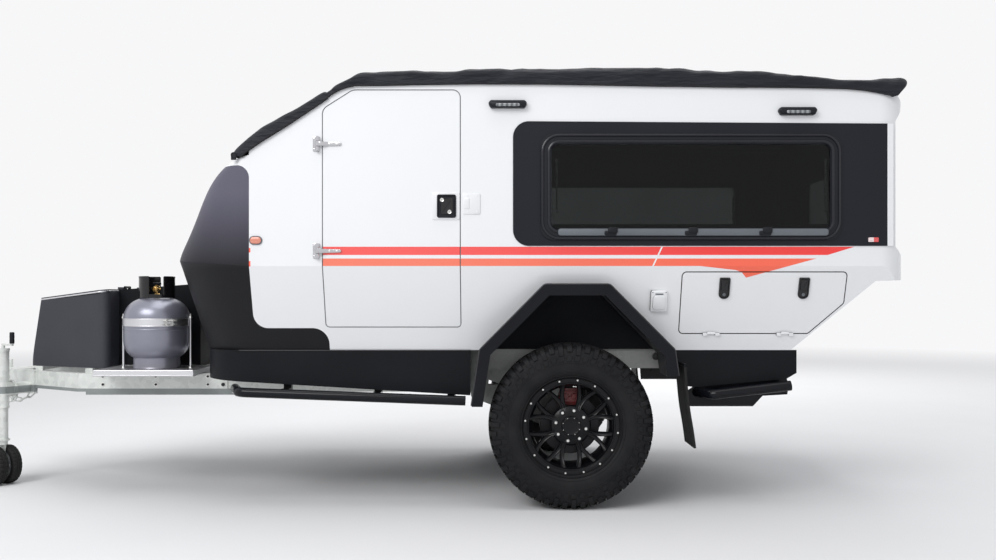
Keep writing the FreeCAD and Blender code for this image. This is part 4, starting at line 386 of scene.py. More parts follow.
# Each finish with the solids that wear it
DRESS = {
    "white": (gel_coat(), "wall_left wall_right entry_door locker_hatch_left locker_hatch_right roof rear_wall "
                          "strike_plate power_inlet"),
    "guard": (guard_coat(), "nose_guard"),
    "surround": (surround_coat(), "window_surrounds"),
    "chest": (coated("black_chest_coat", (0.0265, 0.0275, 0.0345), 0.42, 480.0, 0.5, 0.3),
              "toolbox toolbox_lid"),
    "trim": (coated("black_trim", (0.0050, 0.0058, 0.0085), 0.34, 300.0, 0.2, 0.24),
             "window_frames door_handle locker_latches_left locker_latches_right scene_lamps"),
    "flare": (coated("black_flare_plastic", (0.0030, 0.0034, 0.0052), 0.42, 380.0, 0.3, 0.16), "arch_flares"),
    "well": (coated("black_well_liner", (0.0048, 0.0054, 0.0070), 0.60, 200.0, 0.4, 0.10), "floor wheel_wells"),
    "gasket": (coated("window_gasket", (0.0045, 0.0052, 0.0085), 0.20, 300.0, 0.08, 0.36), ""),
    "gloss": (coated("gloss_black", (0.0050, 0.0050, 0.0060), 0.14, 260.0, 0.05, 0.45), ""),
    # Painted highlight: the flare and skirt edge beads are shaped, and their black is about seven times lighter
    # than the flares and skirts, standing for the light line along those edges.
    "edge": (coated("highlight_black_edge", (0.020, 0.020, 0.023), 0.34, 300.0, 0.2, 0.4), ""),
    "powder": (coated("black_powder_coat", (0.0028, 0.0034, 0.0050), 0.38, 420.0, 0.3, 0.15),
               "toolbox_neck skirt_front skirts_rear flap_brackets"),
    "tubing": (coated("gloss_tube_coat", (0.0040, 0.0044, 0.0064), 0.12, 300.0, 0.05, 0.2),
               "step_tubes stone_bars"),
    "sill": (coated("grey_sill_plastic", (0.095, 0.105, 0.120), 0.45, 300.0, 0.15, 0.4), ""),
    "grey": (coated("grey_trim_plastic", (0.30, 0.31, 0.32), 0.42, 300.0, 0.15, 0.4), ""),
    "clear": (ribbed_lens(), ""),
    "galvanised": (galvanised("galvanised_steel", 1.0),
                   "drawbar coupling jockey_bracket jockey_outer jockey_leg jockey_fork safety_chains"),
    # Painted shade: the chassis frame, arms and pivot nuts wear the galvanised finish darkened to 0.42,
    # standing for the shade under the body.
    "frame": (galvanised("shaded_galvanised_frame", 0.42), "chassis_frame trailing_arms"),
    "chrome": (metal("polished_hinge_metal", (0.60, 0.60, 0.62), 0.14), "door_hinge_straps door_hinge_leaves"),
    "steel": (metal("bright_bolt_steel", (0.78, 0.78, 0.76), 0.22), ""),
    "aluminium": (metal("aluminium_band", (0.70, 0.70, 0.72), 0.32, (1, 1, 20)), "bottle_holders"),
    "brass": (metal("valve_brass", (0.72, 0.48, 0.18), 0.28), ""),
    "bottle": (bottle_enamel(), "gas_bottles"),
    "tyre": (grained("tyre_rubber", (0.0050, 0.0053, 0.0066), (0.0135, 0.0135, 0.0145), 0.58, 0.18,
                     (340.0, 2.0), (9.0, 4.0), (0.35, 0.8), (0.2, 0.0006), Specular_IOR_Level=0.22),
             "tyre_left tyre_right"),
    "rim": (grained("black_wheel_paint", (0.0030, 0.0032, 0.0040), (0.0060, 0.0062, 0.0078), 0.24, 0.1,
                    (300.0, 2.0), (12.0, 2.0), None, (0.08, 0.0004), Specular_IOR_Level=0.18, Coat_Weight=0.06,
                    Coat_Roughness=0.12), "rim_left rim_right"),
    "iron": (metal("dark_disc_iron", (0.045, 0.045, 0.048), 0.46), "brake_disc_left brake_disc_right"),
    "red": (grained("red_caliper_enamel", (0.119, 0.0070, 0.0084), (0.17, 0.010, 0.012), 0.35, 0.12,
                    (120.0, 3.0), None, (0.3, 0.8), (0.12, 0.0005)), "brake_calipers"),
    "rubber": (coated("black_rubber", (0.0075, 0.0075, 0.0078), 0.58, 240.0, 0.25, 0.25),
               "air_springs mud_flaps jockey_wheels"),
    "canvas": (canvas(), "cover_slope cover_roof"),
    "piping": (coated("woven_piping", (0.0090, 0.0090, 0.0110), 0.66, 900.0, 0.5, 0.25), ""),
    "glass": (grained("tinted_acrylic", (0.105, 0.115, 0.115), (0.150, 0.160, 0.158), 0.01, 0.02, (3.0, 3.0),
                      Transmission_Weight=1.0, IOR=1.26), "window_panes"),
    "lens": (lamp_body(), "marker_lamps"),
    "board": (grained("varnished_board", (0.42, 0.28, 0.16), (0.62, 0.46, 0.29), 0.42, 0.1,
                      (9.0, 4.0, (1, 14, 14)), bump=(0.15, 0.0006)), "bed_base"),
    "cloth": (mattress_cloth(), "mattress"),
}

for finish, worn in DRESS.values():
    for node in worn.split():
        slots = NODES[node].data.materials
        slots.clear()
        slots.append(finish)


# Surfaces worked out on grids

def unit(vectors):
    """Vectors over their lengths."""
    return vectors / np.maximum(np.linalg.norm(vectors, axis=-1, keepdims=True), 1e-12)


def rounded(corners, steps=5):
    """A closed outline through (u, v, radius) corners. Each corner becomes an arc: its centre plus the
    radius times the cosine and sine of evenly spaced angles between its two tangent points."""
    c = np.array(corners, float)
    p, r = c[:, :2], np.maximum(c[:, 2], 4e-4)
    back, ahead = unit(np.roll(p, 1, 0) - p), unit(np.roll(p, -1, 0) - p)
    half = np.arccos(np.clip((back * ahead).sum(1), -1, 1)) / 2
    reach = (r / np.tan(half))[:, None]
    centre = p + unit(back + ahead) * (r / np.sin(half))[:, None]
    first, last = p + back * reach - centre, p + ahead * reach - centre
    start = np.arctan2(first[:, 1], first[:, 0])
    sweep = (np.arctan2(last[:, 1], last[:, 0]) - start + math.pi) % TAU - math.pi
    angle = start[:, None] + sweep[:, None] * np.linspace(0, 1, steps)
    ring = np.stack([np.cos(angle), np.sin(angle)], -1) * r[:, None, None]
    return (centre[:, None] + ring).reshape(-1, 2)


def oblong(x0, x1, z0, z1, r, top=None):
    """Corners of an oblong, with radius r below and radius top above."""
    top = r if top is None else top
    return [(x0, z0, r), (x0, z1, top), (x1, z1, top), (x1, z0, r)]


def about(place, left, right, low, high, r, top=None, steps=5):
    """Outline of an oblong from its reach to each side of a place and its corners, in millimetres."""
    x, z = place
    left, right, low, high, r = mm(left, right, low, high, r)
    top = r if top is None else top / 1000
    return rounded(oblong(x + left, x + right, z + low, z + high, r, top), steps)


def shrink(loop, distance):
    """An outline with every side moved inwards: each point goes along the sum of its two sides' normals,
    over one plus their product."""
    ahead = unit(np.roll(loop, -1, 0) - loop)
    back = np.roll(ahead, 1, 0)
    side = np.stack([-(ahead + back)[:, 1], (ahead + back)[:, 0]], -1) / (1 + (ahead * back).sum(1))[:, None]
    u, v = loop.T
    turn = 1.0 if (u * np.roll(v, -1) - np.roll(u, -1) * v).sum() > 0 else -1.0
    return loop + side * (turn * distance)


def eased(points, count):
    """A smooth line through points: on each stretch the Catmull-Rom cubic of its four nearest points."""
    p = np.array(points, float)
    p = np.vstack([2 * p[0] - p[1], p, 2 * p[-1] - p[-2]])
    t = np.linspace(0, len(points) - 1, count)
    k = np.minimum(t.astype(int), len(points) - 2)
    f = (t - k)[:, None]
    a, b, c, d = p[k], p[k + 1], p[k + 2], p[k + 3]
    square, cube = 2 * a - 5 * b + 4 * c - d, 3 * b - a - 3 * c + d
    return 0.5 * (2 * b + (c - a) * f + square * f ** 2 + cube * f ** 3)


def lengths(line):
    """Length along a line up to each of its points."""
    return np.concatenate([[0], np.cumsum(np.linalg.norm(np.diff(line, axis=0), axis=1))])


def walked(line, length, q):
    """Points of a line at lengths q along it."""
    return np.stack([np.interp(q, length, column) for column in line.T], -1)


def ripple(points, seed, scale, waves=14):
    """Soft unevenness between about -1 and 1: the mean of sine waves of seeded directions and phases."""
    pick = np.random.default_rng(seed)
    aims = unit(pick.normal(size=(waves, 3))) * pick.uniform(0.6, 1.7, (waves, 1)) * scale
    turns = pick.uniform(0, TAU, waves)
    return np.sin(points @ aims.T + turns).sum(-1) / math.sqrt(waves)


def facing(across, way=-1):
    """Frame for points (x, z) of an upright face along the trailer, height out of it."""
    def frame(loop, height):
        return np.stack([loop[:, 0], np.full(len(loop), across + way * height), loop[:, 1]], -1)

    return frame


def above(z):
    """Frame for points (x, y) of a level face at z, height over it."""
    return lambda loop, height: np.column_stack([loop, np.full(len(loop), z + height)])


def behind(x):
    """Frame for points (y, z) of an upright face across the trailer at x, height behind it."""
    return lambda loop, height: np.column_stack([np.full(len(loop), x + height), loop])


near = facing(-HALF)
rear = behind(st(1602))


def tucked(loop, height):
    """Points (x, z) of the near side below the crease, height out of it along its normal."""
    lean = math.atan2(TUCK_IN, TUCK_DROP)
    y = -(HALF - TUCK_IN * (CREASE - loop[:, 1]) / TUCK_DROP) - height * math.cos(lean)
    return np.stack([loop[:, 0], y, loop[:, 1] - height * math.sin(lean)], -1)


def skin(loop, height):
    """Points (x, z) of the near side, upright over the crease and tucked below it, height out of it."""
    return np.where(loop[:, 1:] >= CREASE - 1e-6, near(loop, height), tucked(loop, height))


def creased(loop):
    """An outline with a point added wherever it crosses the crease."""
    rise = np.roll(loop, -1, 0) - loop
    share = (CREASE - loop[:, 1]) / np.where(np.abs(rise[:, 1]) < 1e-9, 1.0, rise[:, 1])
    cross = (share > 1e-6) & (share < 1 - 1e-6) & (np.abs(rise[:, 1]) > 1e-9)
    both = np.stack([loop, loop + rise * share[:, None]], 1).reshape(-1, 2)
    return both[np.stack([np.ones(len(loop), bool), cross], 1).ravel()]


class Shell:
    """Points and faces of one piece, gathered surface by surface. Places are in metres; profiles, radii and
    heights are in millimetres."""

    def __init__(self):
        self.points, self.faces, self.count = [], [], 0

    def grid(self, points, rows_closed=False, columns_closed=True):
        """Four-sided faces between neighbours of a grid; open ends of a closed tube get one face each."""
        rows, columns = points.shape[:2]
        r = np.arange(rows if rows_closed else rows - 1)[:, None]
        c = np.arange(columns if columns_closed else columns - 1)[None, :]
        up, on = (r + 1) % rows * columns, (c + 1) % columns
        base = self.count
        faces = np.stack([r * columns + c, r * columns + on, up + on, up + c], -1).reshape(-1, 4) + base
        self.points.append(points.reshape(-1, 3))
        self.faces += [tuple(face) for face in faces.tolist()]
        self.count += rows * columns
        if columns_closed and not rows_closed:
            self.faces.append(tuple(range(base + columns - 1, base - 1, -1)))
            self.faces.append(tuple(range(self.count - columns, self.count)))
        return self

    def moulded(self, loop, profile, frame=near, closed=False):
        """An outline carried through a profile: ring k is the outline drawn in by its first number and
        raised by its second."""
        rings = [frame(shrink(loop, inwards), height) for inwards, height in mm(*profile)]
        return self.grid(np.stack(rings), closed)

    def plate(self, loop, high, frame=near, bevel=1.5, low=-0.8):
        """A flat moulding with a bevelled edge."""
        profile = [(0, low), (0, high - bevel), (bevel * 0.4, high - bevel * 0.3), (bevel, high)]
        return self.moulded(loop, profile, frame)

    def turned(self, profile, centre, axis=UPWARDS, sides=32, closed=False, share=1.0, start=0.0):
        """A profile of (radius, height) turned about an axis: centre plus height along the axis plus radius
        times the cosine and sine of the turn. A share of the turn, from start, leaves the rest open."""
        profile = mm(*profile)
        axis = unit(np.array(axis, float))
        first = unit(np.cross(axis, UPWARDS if abs(axis[2]) < 0.9 else ALONG_X))
        second = np.cross(axis, first)
        angle = start + np.linspace(0, TAU * share, sides, endpoint=share < 1)
        spoke = np.cos(angle)[:, None] * first + np.sin(angle)[:, None] * second
        points = np.array(centre) + profile[:, 1, None, None] * axis + profile[:, 0, None, None] * spoke
        return self.grid(points.transpose(1, 0, 2)) if share < 1 else self.grid(points, closed)

    def tube(self, path, radius, sides=12, up=UPWARDS, closed=False):
        """A round bar along a path: each point plus radius times the cosine and sine of two normals of the
        path."""
        path = np.asarray(path, float)
        run = np.roll(path, -1, 0) - np.roll(path, 1, 0) if closed else np.gradient(path, axis=0)
        first = unit(np.cross(unit(run), up))
        second = np.cross(unit(run), first)
        angle = np.arange(sides) * TAU / sides
        ring = np.cos(angle)[None, :, None] * first[:, None] + np.sin(angle)[None, :, None] * second[:, None]
        return self.grid(path[:, None] + ring * mm(radius).reshape(-1, 1, 1), closed)

    def heads(self, places, normal, radius, height, sides=6):
        """Bolt heads: a chamfered disc of a few sides copied to every place, along one normal or one each."""
        places = np.asarray(places, float).reshape(-1, 3)
        normal = np.broadcast_to(unit(np.asarray(normal, float)), places.shape)
        first = unit(np.cross(normal, np.where(np.abs(normal[:, 1:2]) < 0.9, (0, 1, 0), ALONG_X)))
        second = np.cross(normal, first)
        angle = np.arange(sides) * TAU / sides
        ring = np.cos(angle)[:, None] * first[:, None] + np.sin(angle)[:, None] * second[:, None]
        radius, height = mm(radius, height)
        for place, spokes, out in zip(places, ring, normal):
            levels = ((1, -0.3), (1, 0.7), (0.78, 1))
            self.grid(np.stack([place + spokes * radius * q + out * height * h for q, h in levels]))
        return self

    def piece(self, name, finish, body="trailer", replaces="", both=False, flip=False, edge=34):
        """The piece itself, on its body; flip makes its mirror image across the trailer, both adds that
        image."""
        points, faces = np.concatenate(self.points), list(self.faces)
        if flip:
            points, faces = points * (1, -1, 1), [face[::-1] for face in faces]
        if both:
            faces += [tuple(k + len(points) for k in reversed(face)) for face in faces]
            points = np.vstack([points, points * (1, -1, 1)])
        data = bpy.data.meshes.new(name)
        data.from_pydata(points.tolist(), [], faces)
        mesh = bmesh.new()
        mesh.from_mesh(data)
        bmesh.ops.recalc_face_normals(mesh, faces=mesh.faces)
        mesh.to_mesh(data)
        mesh.free()
        data.polygons.foreach_set("use_smooth", np.ones(len(data.polygons), bool))
        data.set_sharp_from_angle(angle=math.radians(edge))
        thing = bpy.data.objects.new(name, data)
        scene.collection.objects.link(thing)
        data.materials.append(DRESS[finish][0])
        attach(thing, body)
        if replaces:
            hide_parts(replaces)
        return thing


# Wheels

WHEEL_Z = 0.4075
TRACK_HALF = 0.8925
PITCHES = 54


def carcass_line(count):
    """Half section of the tyre as (radius, distance from its middle) in millimetres, from crown to bead."""
    return eased([(396.2, 0), (395.5, 45), (392.5, 85), (384.5, 108), (368, 119.5), (340, 124.5), (305, 127.2),
                  (275, 126.2), (252, 116.5), (239.5, 103.5)], count)


def tread_blocks(shell, middle):
    """Tread lugs. Each is a strip of four-point sections that runs over the carcass line from one arc
    length to another; a section is its base and its drawn-in top, turned about the axle by the strip's
    slanting angle."""
    line = carcass_line(160) / 1000
    length = lengths(line)
    run = unit(np.gradient(line, axis=0))
    out = np.stack([run[:, 1], -run[:, 0]], -1)
    pitch = TAU / PITCHES
    # Arc lengths of the two ends, width and shift in pitches, slant, kink, height, how many sections, and how
    # many pitches from one lug to the next
    rows = [
        (0.003, 0.034, 0.62, 0.10, 0.16, -0.12, 0.0114, 5, 1),
        (0.040, 0.074, 0.60, 0.55, -0.10, 0.14, 0.0114, 5, 1),
        (0.081, 0.131, 0.66, 0.20, 0.05, 0.02, 0.0112, 8, 2),
        (0.081, 0.147, 0.60, 0.20, 0.05, -0.04, 0.0112, 8, 2),
        (0.151, 0.176, 0.74, 0.22, 0.12, 0.06, 0.0036, 4, 1),
        (0.1355, 0.147, 0.62, 0.20, 0.04, 0.02, 0.0060, 3, 2),
    ]
    for index, (start, end, wide, shift, slant, kink, high, steps, every) in enumerate(rows):
        q = np.linspace(start, end, steps)
        base, lift = walked(line, length, q), unit(walked(out, length, q))
        fade = np.where((q > 0.112) & (high > 0.01), 1 - 0.55 * (q - 0.112) / 0.035, 1.0)
        along = (q - start) / (end - start)
        centre = (shift + slant * along + kink * np.abs(along - 0.5)) * pitch
        half = 0.5 * wide * pitch * (1 - 0.10 * along)
        for side in (-1, 1):
            first = index % 2 if every == 2 else 0
            turn = (np.arange(first, PITCHES, every) + (side > 0) * 0.5) * pitch
            grids = []
            for edge, rise in ((-1.0, -0.004), (-0.86, 1.0), (0.86, 1.0), (1.0, -0.004)):
                spot = base + lift * np.where(rise > 0, high * fade, rise)[:, None]
                angle = turn[:, None] + (side * centre + edge * half)[None, :]
                grids.append(np.stack([spot[:, 0] * np.sin(angle),
                                       np.broadcast_to(side * spot[:, 1], angle.shape),
                                       spot[:, 0] * np.cos(angle)], -1))
            for block in np.stack(grids, 2):
                shell.grid(block + middle)


def make_tyre(side, sign):
    middle = np.array([AXLE, sign * TRACK_HALF, WHEEL_Z])
    shell = Shell()
    half = carcass_line(40)
    inner = [(226, 89.5), (250, 82), (300, 110), (370, 95), (384, 0)]
    loop = np.vstack([half, inner, [(r, -w) for r, w in inner[-2::-1]], half[:0:-1] * (1, -1)])
    shell.turned(loop, middle, (0, 1, 0), 120, closed=True)
    tread_blocks(shell, middle)
    for face in (-1, 1):
        for radius, wide, out, high in ((247.5, 3, 114.5, 4.2), (264, 1.6, 122.8, 1.6), (312, 1.4, 126.8, 1.2),
                                        (337.5, 1.6, 124.6, 1.4)):
            foot, top = face * (out - 2), face * (out + high)
            bead = [(radius - wide, foot), (radius - wide / 2, top), (radius + wide / 2, top),
                    (radius + wide, foot)]
            shell.turned(bead, middle, (0, 1, 0), 96, closed=True)
    shell.piece("tyre_tread_" + side, "tyre", "wheel_" + side, "tyre_" + side, edge=30)


def make_rim(side, sign):
    """Eight spokes, each a stem that parts into two arms before the bolted lip ring."""
    middle = np.array([AXLE, sign * TRACK_HALF, WHEEL_Z])
    axis = (0, sign, 0)
    shell = Shell()
    barrel = [(235.5, 104.5), (235.5, 94), (219, 91), (218, 58), (199, 40), (199, -56), (218, -78), (219, -92),
              (235.5, -94), (235.5, -104), (226, -104.5), (212, -92), (211, -78), (192, -58), (192, 36),
              (201, 52), (205.5, 66), (206.5, 98), (209.5, 103.5), (214, 105), (216.5, 103), (219.5, 104.5),
              (232.5, 104.8)]
    hub = [(24.6, 34), (24.6, 30), (98, 30), (101, 36), (100, 50), (93, 58), (60, 64), (47.5, 66), (24.6, 66)]
    boss = [(72, -24), (72, 31), (24.6, 31), (24.6, -24)]
    for profile, sides in ((barrel, 96), (hub, 72), (boss, 40)):
        shell.turned(profile, middle, axis, sides, closed=True)
    cap = [(47, 60), (47, 88), (44.5, 92.5), (40.5, 94), (38.5, 92.5), (12, 92.5)]
    shell.turned(cap, middle, axis, 48)
    section = np.array([(-1.0, -0.022), (-1.0, -0.004), (-0.72, 0.0), (-0.30, -0.0035), (0.30, -0.0035),
                        (0.72, 0.0), (1.0, -0.004), (1.0, -0.022)])
    reach = np.linspace(0, 1, 12)
    r = 0.084 + reach * 0.126
    depth = 0.061 - 0.010 * np.sin(reach * math.pi * 0.9) + 0.031 * reach ** 3
    wide = 0.0125 - 0.0022 * reach + 0.0035 * reach ** 6
    part = np.clip((reach - 0.20) / 0.80, 0, 1) ** 1.15 * 0.172 + 0.004
    for k in range(8):
        for hand in (-1, 1):
            lean = TAU * (k + 0.5) / 8 + hand * (part + 0.035)
            spoke = np.stack([np.sin(lean), np.cos(lean)], -1)
            across = np.stack([np.cos(lean), -np.sin(lean)], -1)
            spread = (wide[:, None] * section[:, 0])[..., None]
            flat = spoke[:, None] * r[:, None, None] + across[:, None] * spread
            level = sign * (depth[:, None] + section[:, 1])
            shell.grid(np.stack([flat[..., 0], level, flat[..., 1]], -1) + middle)
    shell.piece("rim_face_" + side, "rim", "wheel_" + side, "rim_" + side, edge=40)

    def ring(radius, count, height, start):
        angle = start + np.arange(count) * TAU / count
        return np.stack([radius * np.sin(angle), np.full(count, sign * height),
                         radius * np.cos(angle)], -1) + middle

    bolts = Shell().heads(ring(0.2285, 16, 0.1045, 0.13), axis, 5.8, 5)
    bolts.heads(ring(0.0755, 8, 0.0610, 0.20), axis, 9.2, 9)
    bolts.heads(ring(0.0425, 8, 0.0925, 0.35), axis, 2.4, 2.2)
    bolts.piece("wheel_bolts_" + side, "steel", "wheel_" + side)
    nuts = Shell().heads(ring(0.0755, 8, 0.0560, 0.20), axis, 15, 5.5, 16)
    stem = ring(0.2035, 1, 0.0900, 1.35)[0]
    nuts.tube([stem, stem + (0, sign * 0.016, 0), stem + (0, sign * 0.030, 0)], 3.8, 10, ALONG_X)
    nuts.piece("wheel_washers_and_valve_" + side, "trim", "wheel_" + side)


def make_discs(side, sign):
    """A machined face ring on the outer side of the brake disc."""
    low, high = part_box("brake_disc_" + side)
    outer = max(abs(low[1]), abs(high[1])) * sign
    face = [(80, -0.5), (80, 1.2), (146, 1.2), (148.5, -0.5)]
    shell = Shell().turned(face, (AXLE, outer, WHEEL_Z), (0, sign, 0), 72, closed=True)
    shell.piece("disc_face_" + side, "iron", "wheel_" + side)


for side_name, side_sign in (("left", -1), ("right", 1)):
    make_tyre(side_name, side_sign)
    make_rim(side_name, side_sign)
    make_discs(side_name, side_sign)


# Canvas roof cover

CLOTH_THICKNESS = 0.0022
EYELET_ACROSS = 0.987
SLOPE_HEM = [(241.5, 156.5), (246, 152.5), (260, 143), (280, 130.5), (300, 117.5), (320, 104), (328, 98.5)]
SLOPE_TOP = [(232.5, 156.0), (231.5, 151.5), (240, 142), (260, 126), (280, 115), (300, 104),
             (321, 91.5), (326.5, 91.0)]
ROOF_HEM = [(323, 101), (332, 94.5), (342, 89.5), (352, 87), (370, 86), (500, 84.3), (700, 87), (820, 88.3),
            (860, 90.3), (888, 95.0), (892, 96.5), (893, 97.0)]
ROOF_TOP = [(327, 90), (330, 88), (335, 83.5), (349, 77.3), (362, 72), (400, 70), (500, 68), (640, 66),
            (760, 70), (850, 78), (893, 76.0), (905, 76.5), (910.5, 81.5), (901, 94)]


def hem_line(points, count):
    """A smooth line in metres through points of the side drawing, on the cover's near hem."""
    columns, rows = np.array(points).T
    return eased(np.stack([CAMERA[0] + (columns - COLUMN) * HEM_UNIT, CAMERA[2] + (ROW - rows) * HEM_UNIT], -1),
                 count)


def cover_sheet(name, hem, top, columns, seed, replaces):
    """A canvas sheet as rows across the trailer. A row rises from the near hem, rounds its shoulder,
    crosses with a slight crown and comes down on the far side; its foot follows the hem line and its top
    the upper line. The cloth then moves by soft waves: long ones that bag it and short ones along the sides
    that crease it."""
    foot, head = hem_line(hem, columns), hem_line(top, columns)
    q = np.linspace(0, 1, 15)
    turn = np.clip((q - 0.55) / 0.45, 0, 1) * math.pi / 2
    side = np.concatenate([0.9895 - 0.052 * (1 - np.cos(turn[:-1])), np.linspace(0.9375, 0.0, 22)])
    lift = np.where(q > 0.55, 0.62 + 0.38 * np.sin(turn), q / 0.55 * 0.62)
    lift = np.concatenate([lift[:-1], np.ones(22)])
    lift, side = np.concatenate([lift, lift[-2::-1]]), np.concatenate([-side, side[-2::-1]])
    x = foot[:, :1] + (head[:, :1] - foot[:, :1]) * lift
    z = foot[:, 1:] + (head[:, 1:] - foot[:, 1:]) * lift
    y = np.broadcast_to(side, x.shape)
    crown = np.clip(1 - (side / 0.9375) ** 2, 0, 1)
    points = np.stack([x, y, z + 0.013 * crown], -1)
    free = np.clip(lift * 1.6 - 0.1, 0.12, 1.0)
    tall = np.clip((head[:, 1:] - foot[:, 1:]) / 0.075, 0, 1)
    bag = ripple(points, seed, 5.0) * 0.0050 + ripple(points * (1, 1, 2.4), seed + 1, 16.0) * 0.0028
    crease = ripple(points * (0.55, 0.3, 4.5), seed + 2, 22.0) * 0.0030 * (np.abs(side) > 0.9)
    fold = np.maximum(ripple(points * (1.0, 0.25, 0.4), seed + 3, 30.0), 0)
    crease += fold * 0.0034 * (np.abs(side) > 0.75)
    slant = points @ np.array([(0.87 * 0.22, -0.5, 0), (0, 0, 0.1), (0.5 * 0.22, 0.87, 0)])
    pull = np.clip(ripple(points * (1, 0, 0), seed + 4, 6.0) * 0.6 + 0.5, 0, 1)
    crease += ripple(slant, seed + 5, 95.0) * 0.0044 * pull * (np.abs(side) > 0.93)
    outward = np.stack([np.zeros_like(x), np.sign(y) * (np.abs(y) > 0.93), np.ones_like(x)], -1)
    points = points + unit(outward) * ((bag + crease) * free * tall)[..., None]
    points[..., 1] = np.clip(points[..., 1], -0.9975, 0.9975)
    thing = Shell().grid(points, columns_closed=False).piece(name, "canvas", "trailer", replaces, edge=60)
    wall = thing.modifiers.new("cloth", "SOLIDIFY")
    wall.thickness, wall.offset = CLOTH_THICKNESS, -1.0
    return points


def make_cover():
    """The two sheets, the cord sewn along their hems and an eye with its tab on each side."""
    slope = cover_sheet("canvas_slope", SLOPE_HEM, SLOPE_TOP, 96, 11, "cover_slope")
    roof = cover_sheet("canvas_roof", ROOF_HEM, ROOF_TOP, 300, 23, "cover_roof")
    piping, eyes = Shell(), Shell()
    turn = np.linspace(0, TAU, 20, endpoint=False)
    for sign in (-1, 1):
        for points, rows in ((slope, slice(1, 95)), (roof, slice(1, 292))):
            piping.tube(points[rows, 0 if sign < 0 else -1] + (0, sign * 0.001, 0.003), 4.2, 8)
        middle, frame = (st(-1655), 1.738), facing(sign * EYELET_ACROSS, sign)
        ring = middle + np.column_stack([np.cos(turn), np.sin(turn)]) * 0.012
        eyes.tube(frame(ring, 0.004), 2.2, 8, (0, 1, 0), closed=True)
        eyes.moulded(about(middle, -13, 13, -24, 12, 3, 6), [(0, -2), (0, 3), (1, 3.8)], frame)
    piping.piece("canvas_piping", "piping")
    eyes.piece("cover_eyes", "trim")


make_cover()


# Mattress and mud flaps

def swollen(pad, voxel, cap, low, high):
    """The pad remeshed into even voxels and blown up as cloth for twenty frames. A point moves no further
    than the cap and stays inside the box."""
    remesh = pad.modifiers.new("voxels", "REMESH")
    remesh.mode, remesh.voxel_size = "VOXEL", voxel
    data = bpy.data.meshes.new_from_object(pad.evaluated_get(bpy.context.evaluated_depsgraph_get()))
    pad.modifiers.remove(remesh)
    old = pad.data
    pad.data = data
    bpy.data.meshes.remove(old)
    count = len(data.vertices)
    start = np.empty(count * 3)
    data.vertices.foreach_get("co", start)
    cloth = pad.modifiers.new("cloth", "CLOTH")
    cloth.settings.use_pressure = True
    cloth.settings.uniform_pressure_force = 4.0
    cloth.settings.effector_weights.gravity = 0.0
    for number in range(1, 21):
        scene.frame_set(number)
    blown = np.empty(count * 3)
    pad.evaluated_get(bpy.context.evaluated_depsgraph_get()).data.vertices.foreach_get("co", blown)
    pad.modifiers.remove(cloth)
    scene.frame_set(1)
    start = start.reshape(-1, 3)
    move = blown.reshape(-1, 3) - start
    move *= np.minimum(1, cap / np.maximum(np.linalg.norm(move, axis=1, keepdims=True), 1e-9))
    placed = np.clip(start + move, low, high + (0, 0, 0.012))
    data.vertices.foreach_set("co", placed.ravel())
    data.update()
    smooth = pad.modifiers.new("rounder", "SUBSURF")
    smooth.levels = smooth.render_levels = 1
    data.polygons.foreach_set("use_smooth", np.ones(len(data.polygons), bool))
    return pad


def make_mattress():
    """A crowned pad: a box whose plan is a rounded outline, its sides pulled in between the edges and its
    top raised by a flat dome, with a piped seam along both edges."""
    low, high = (np.array(corner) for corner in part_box("mattress"))
    middle = (low[:2] + high[:2]) / 2
    loop = rounded([(low[0], low[1], 0.08), (high[0], low[1], 0.08), (high[0], high[1], 0.08),
                    (low[0], high[1], 0.08)], 9)
    tall = high[2] - low[2]
    profile = [(0.30, 0.000), (0.10, 0.000), (0.03, 0.002), (0.006, 0.012), (0.010, 0.030), (0.013, 0.5 * tall),
               (0.010, tall - 0.030), (0.006, tall - 0.012), (0.03, tall - 0.003), (0.10, tall),
               (0.30, tall + 0.001)]
    rings = []
    for inwards, height in profile:
        ring = shrink(loop, min(inwards, 0.075)) - middle
        ring = middle + ring * (1 - max(inwards - 0.075, 0) / 0.5)
        rings.append(above(low[2])(ring, height))
    pad = Shell().grid(np.stack(rings)).piece("mattress_pad", "cloth", "trailer", "mattress", edge=50)
    pad = swollen(pad, 0.022, 0.016, low, high)
    seam = Shell()
    for height in (0.012, tall - 0.012):
        seam.tube(above(low[2])(shrink(loop, 0.004), height), 4, 8, closed=True)
    seam.piece("mattress_piping", "piping")


FLAP_ACROSS = 0.885


def make_mud_flaps():
    """A rubber sheet hung from its bracket: the line in side view is curved, with a rib at each edge and
    four shallow ribs between; its depth is the distance between the two faces along the line's normal."""
    line = eased([(st(554.0), 0.701), (st(561.0), 0.62), (st(573.0), 0.50), (st(591.0), 0.39),
                  (st(603.0), 0.303)], 40)
    run = unit(np.gradient(line, axis=0))
    out = np.stack([-run[:, 1], run[:, 0]], -1)
    across = np.linspace(-1, 1, 49)
    rib = 0.0016 * (np.abs(across) > 0.94) + 0.0010 * (np.cos(across * math.pi * 5) > 0.86)
    flap, bar = Shell(), Shell()
    for sign in (-1, 1):
        middle = sign * FLAP_ACROSS
        grids = []
        for face in (-1, 1):
            spot = line[:, None, :] + out[:, None, :] * (face * (0.0042 + rib))[None, :, None]
            wide = np.broadcast_to(middle + across * 0.119, spot.shape[:2])
            grids.append(np.stack([spot[..., 0], wide, spot[..., 1]], -1))
        flap.grid(np.concatenate([grids[0], grids[1][:, ::-1]], 1))
        bar.moulded(about((middle, 0.672), -117, 117, 0, 25, 3), [(0, 0), (0, 3), (1, 4)], behind(st(562.0)))
        spots = [(st(566.0), middle + t, 0.6845) for t in (-0.095, -0.032, 0.032, 0.095)]
        bar.heads(spots, ALONG_X, 7, 6)
    flap.piece("mud_flap_rubber", "rubber", "trailer", "mud_flaps", edge=40)
    bar.piece("flap_clamps", "powder")


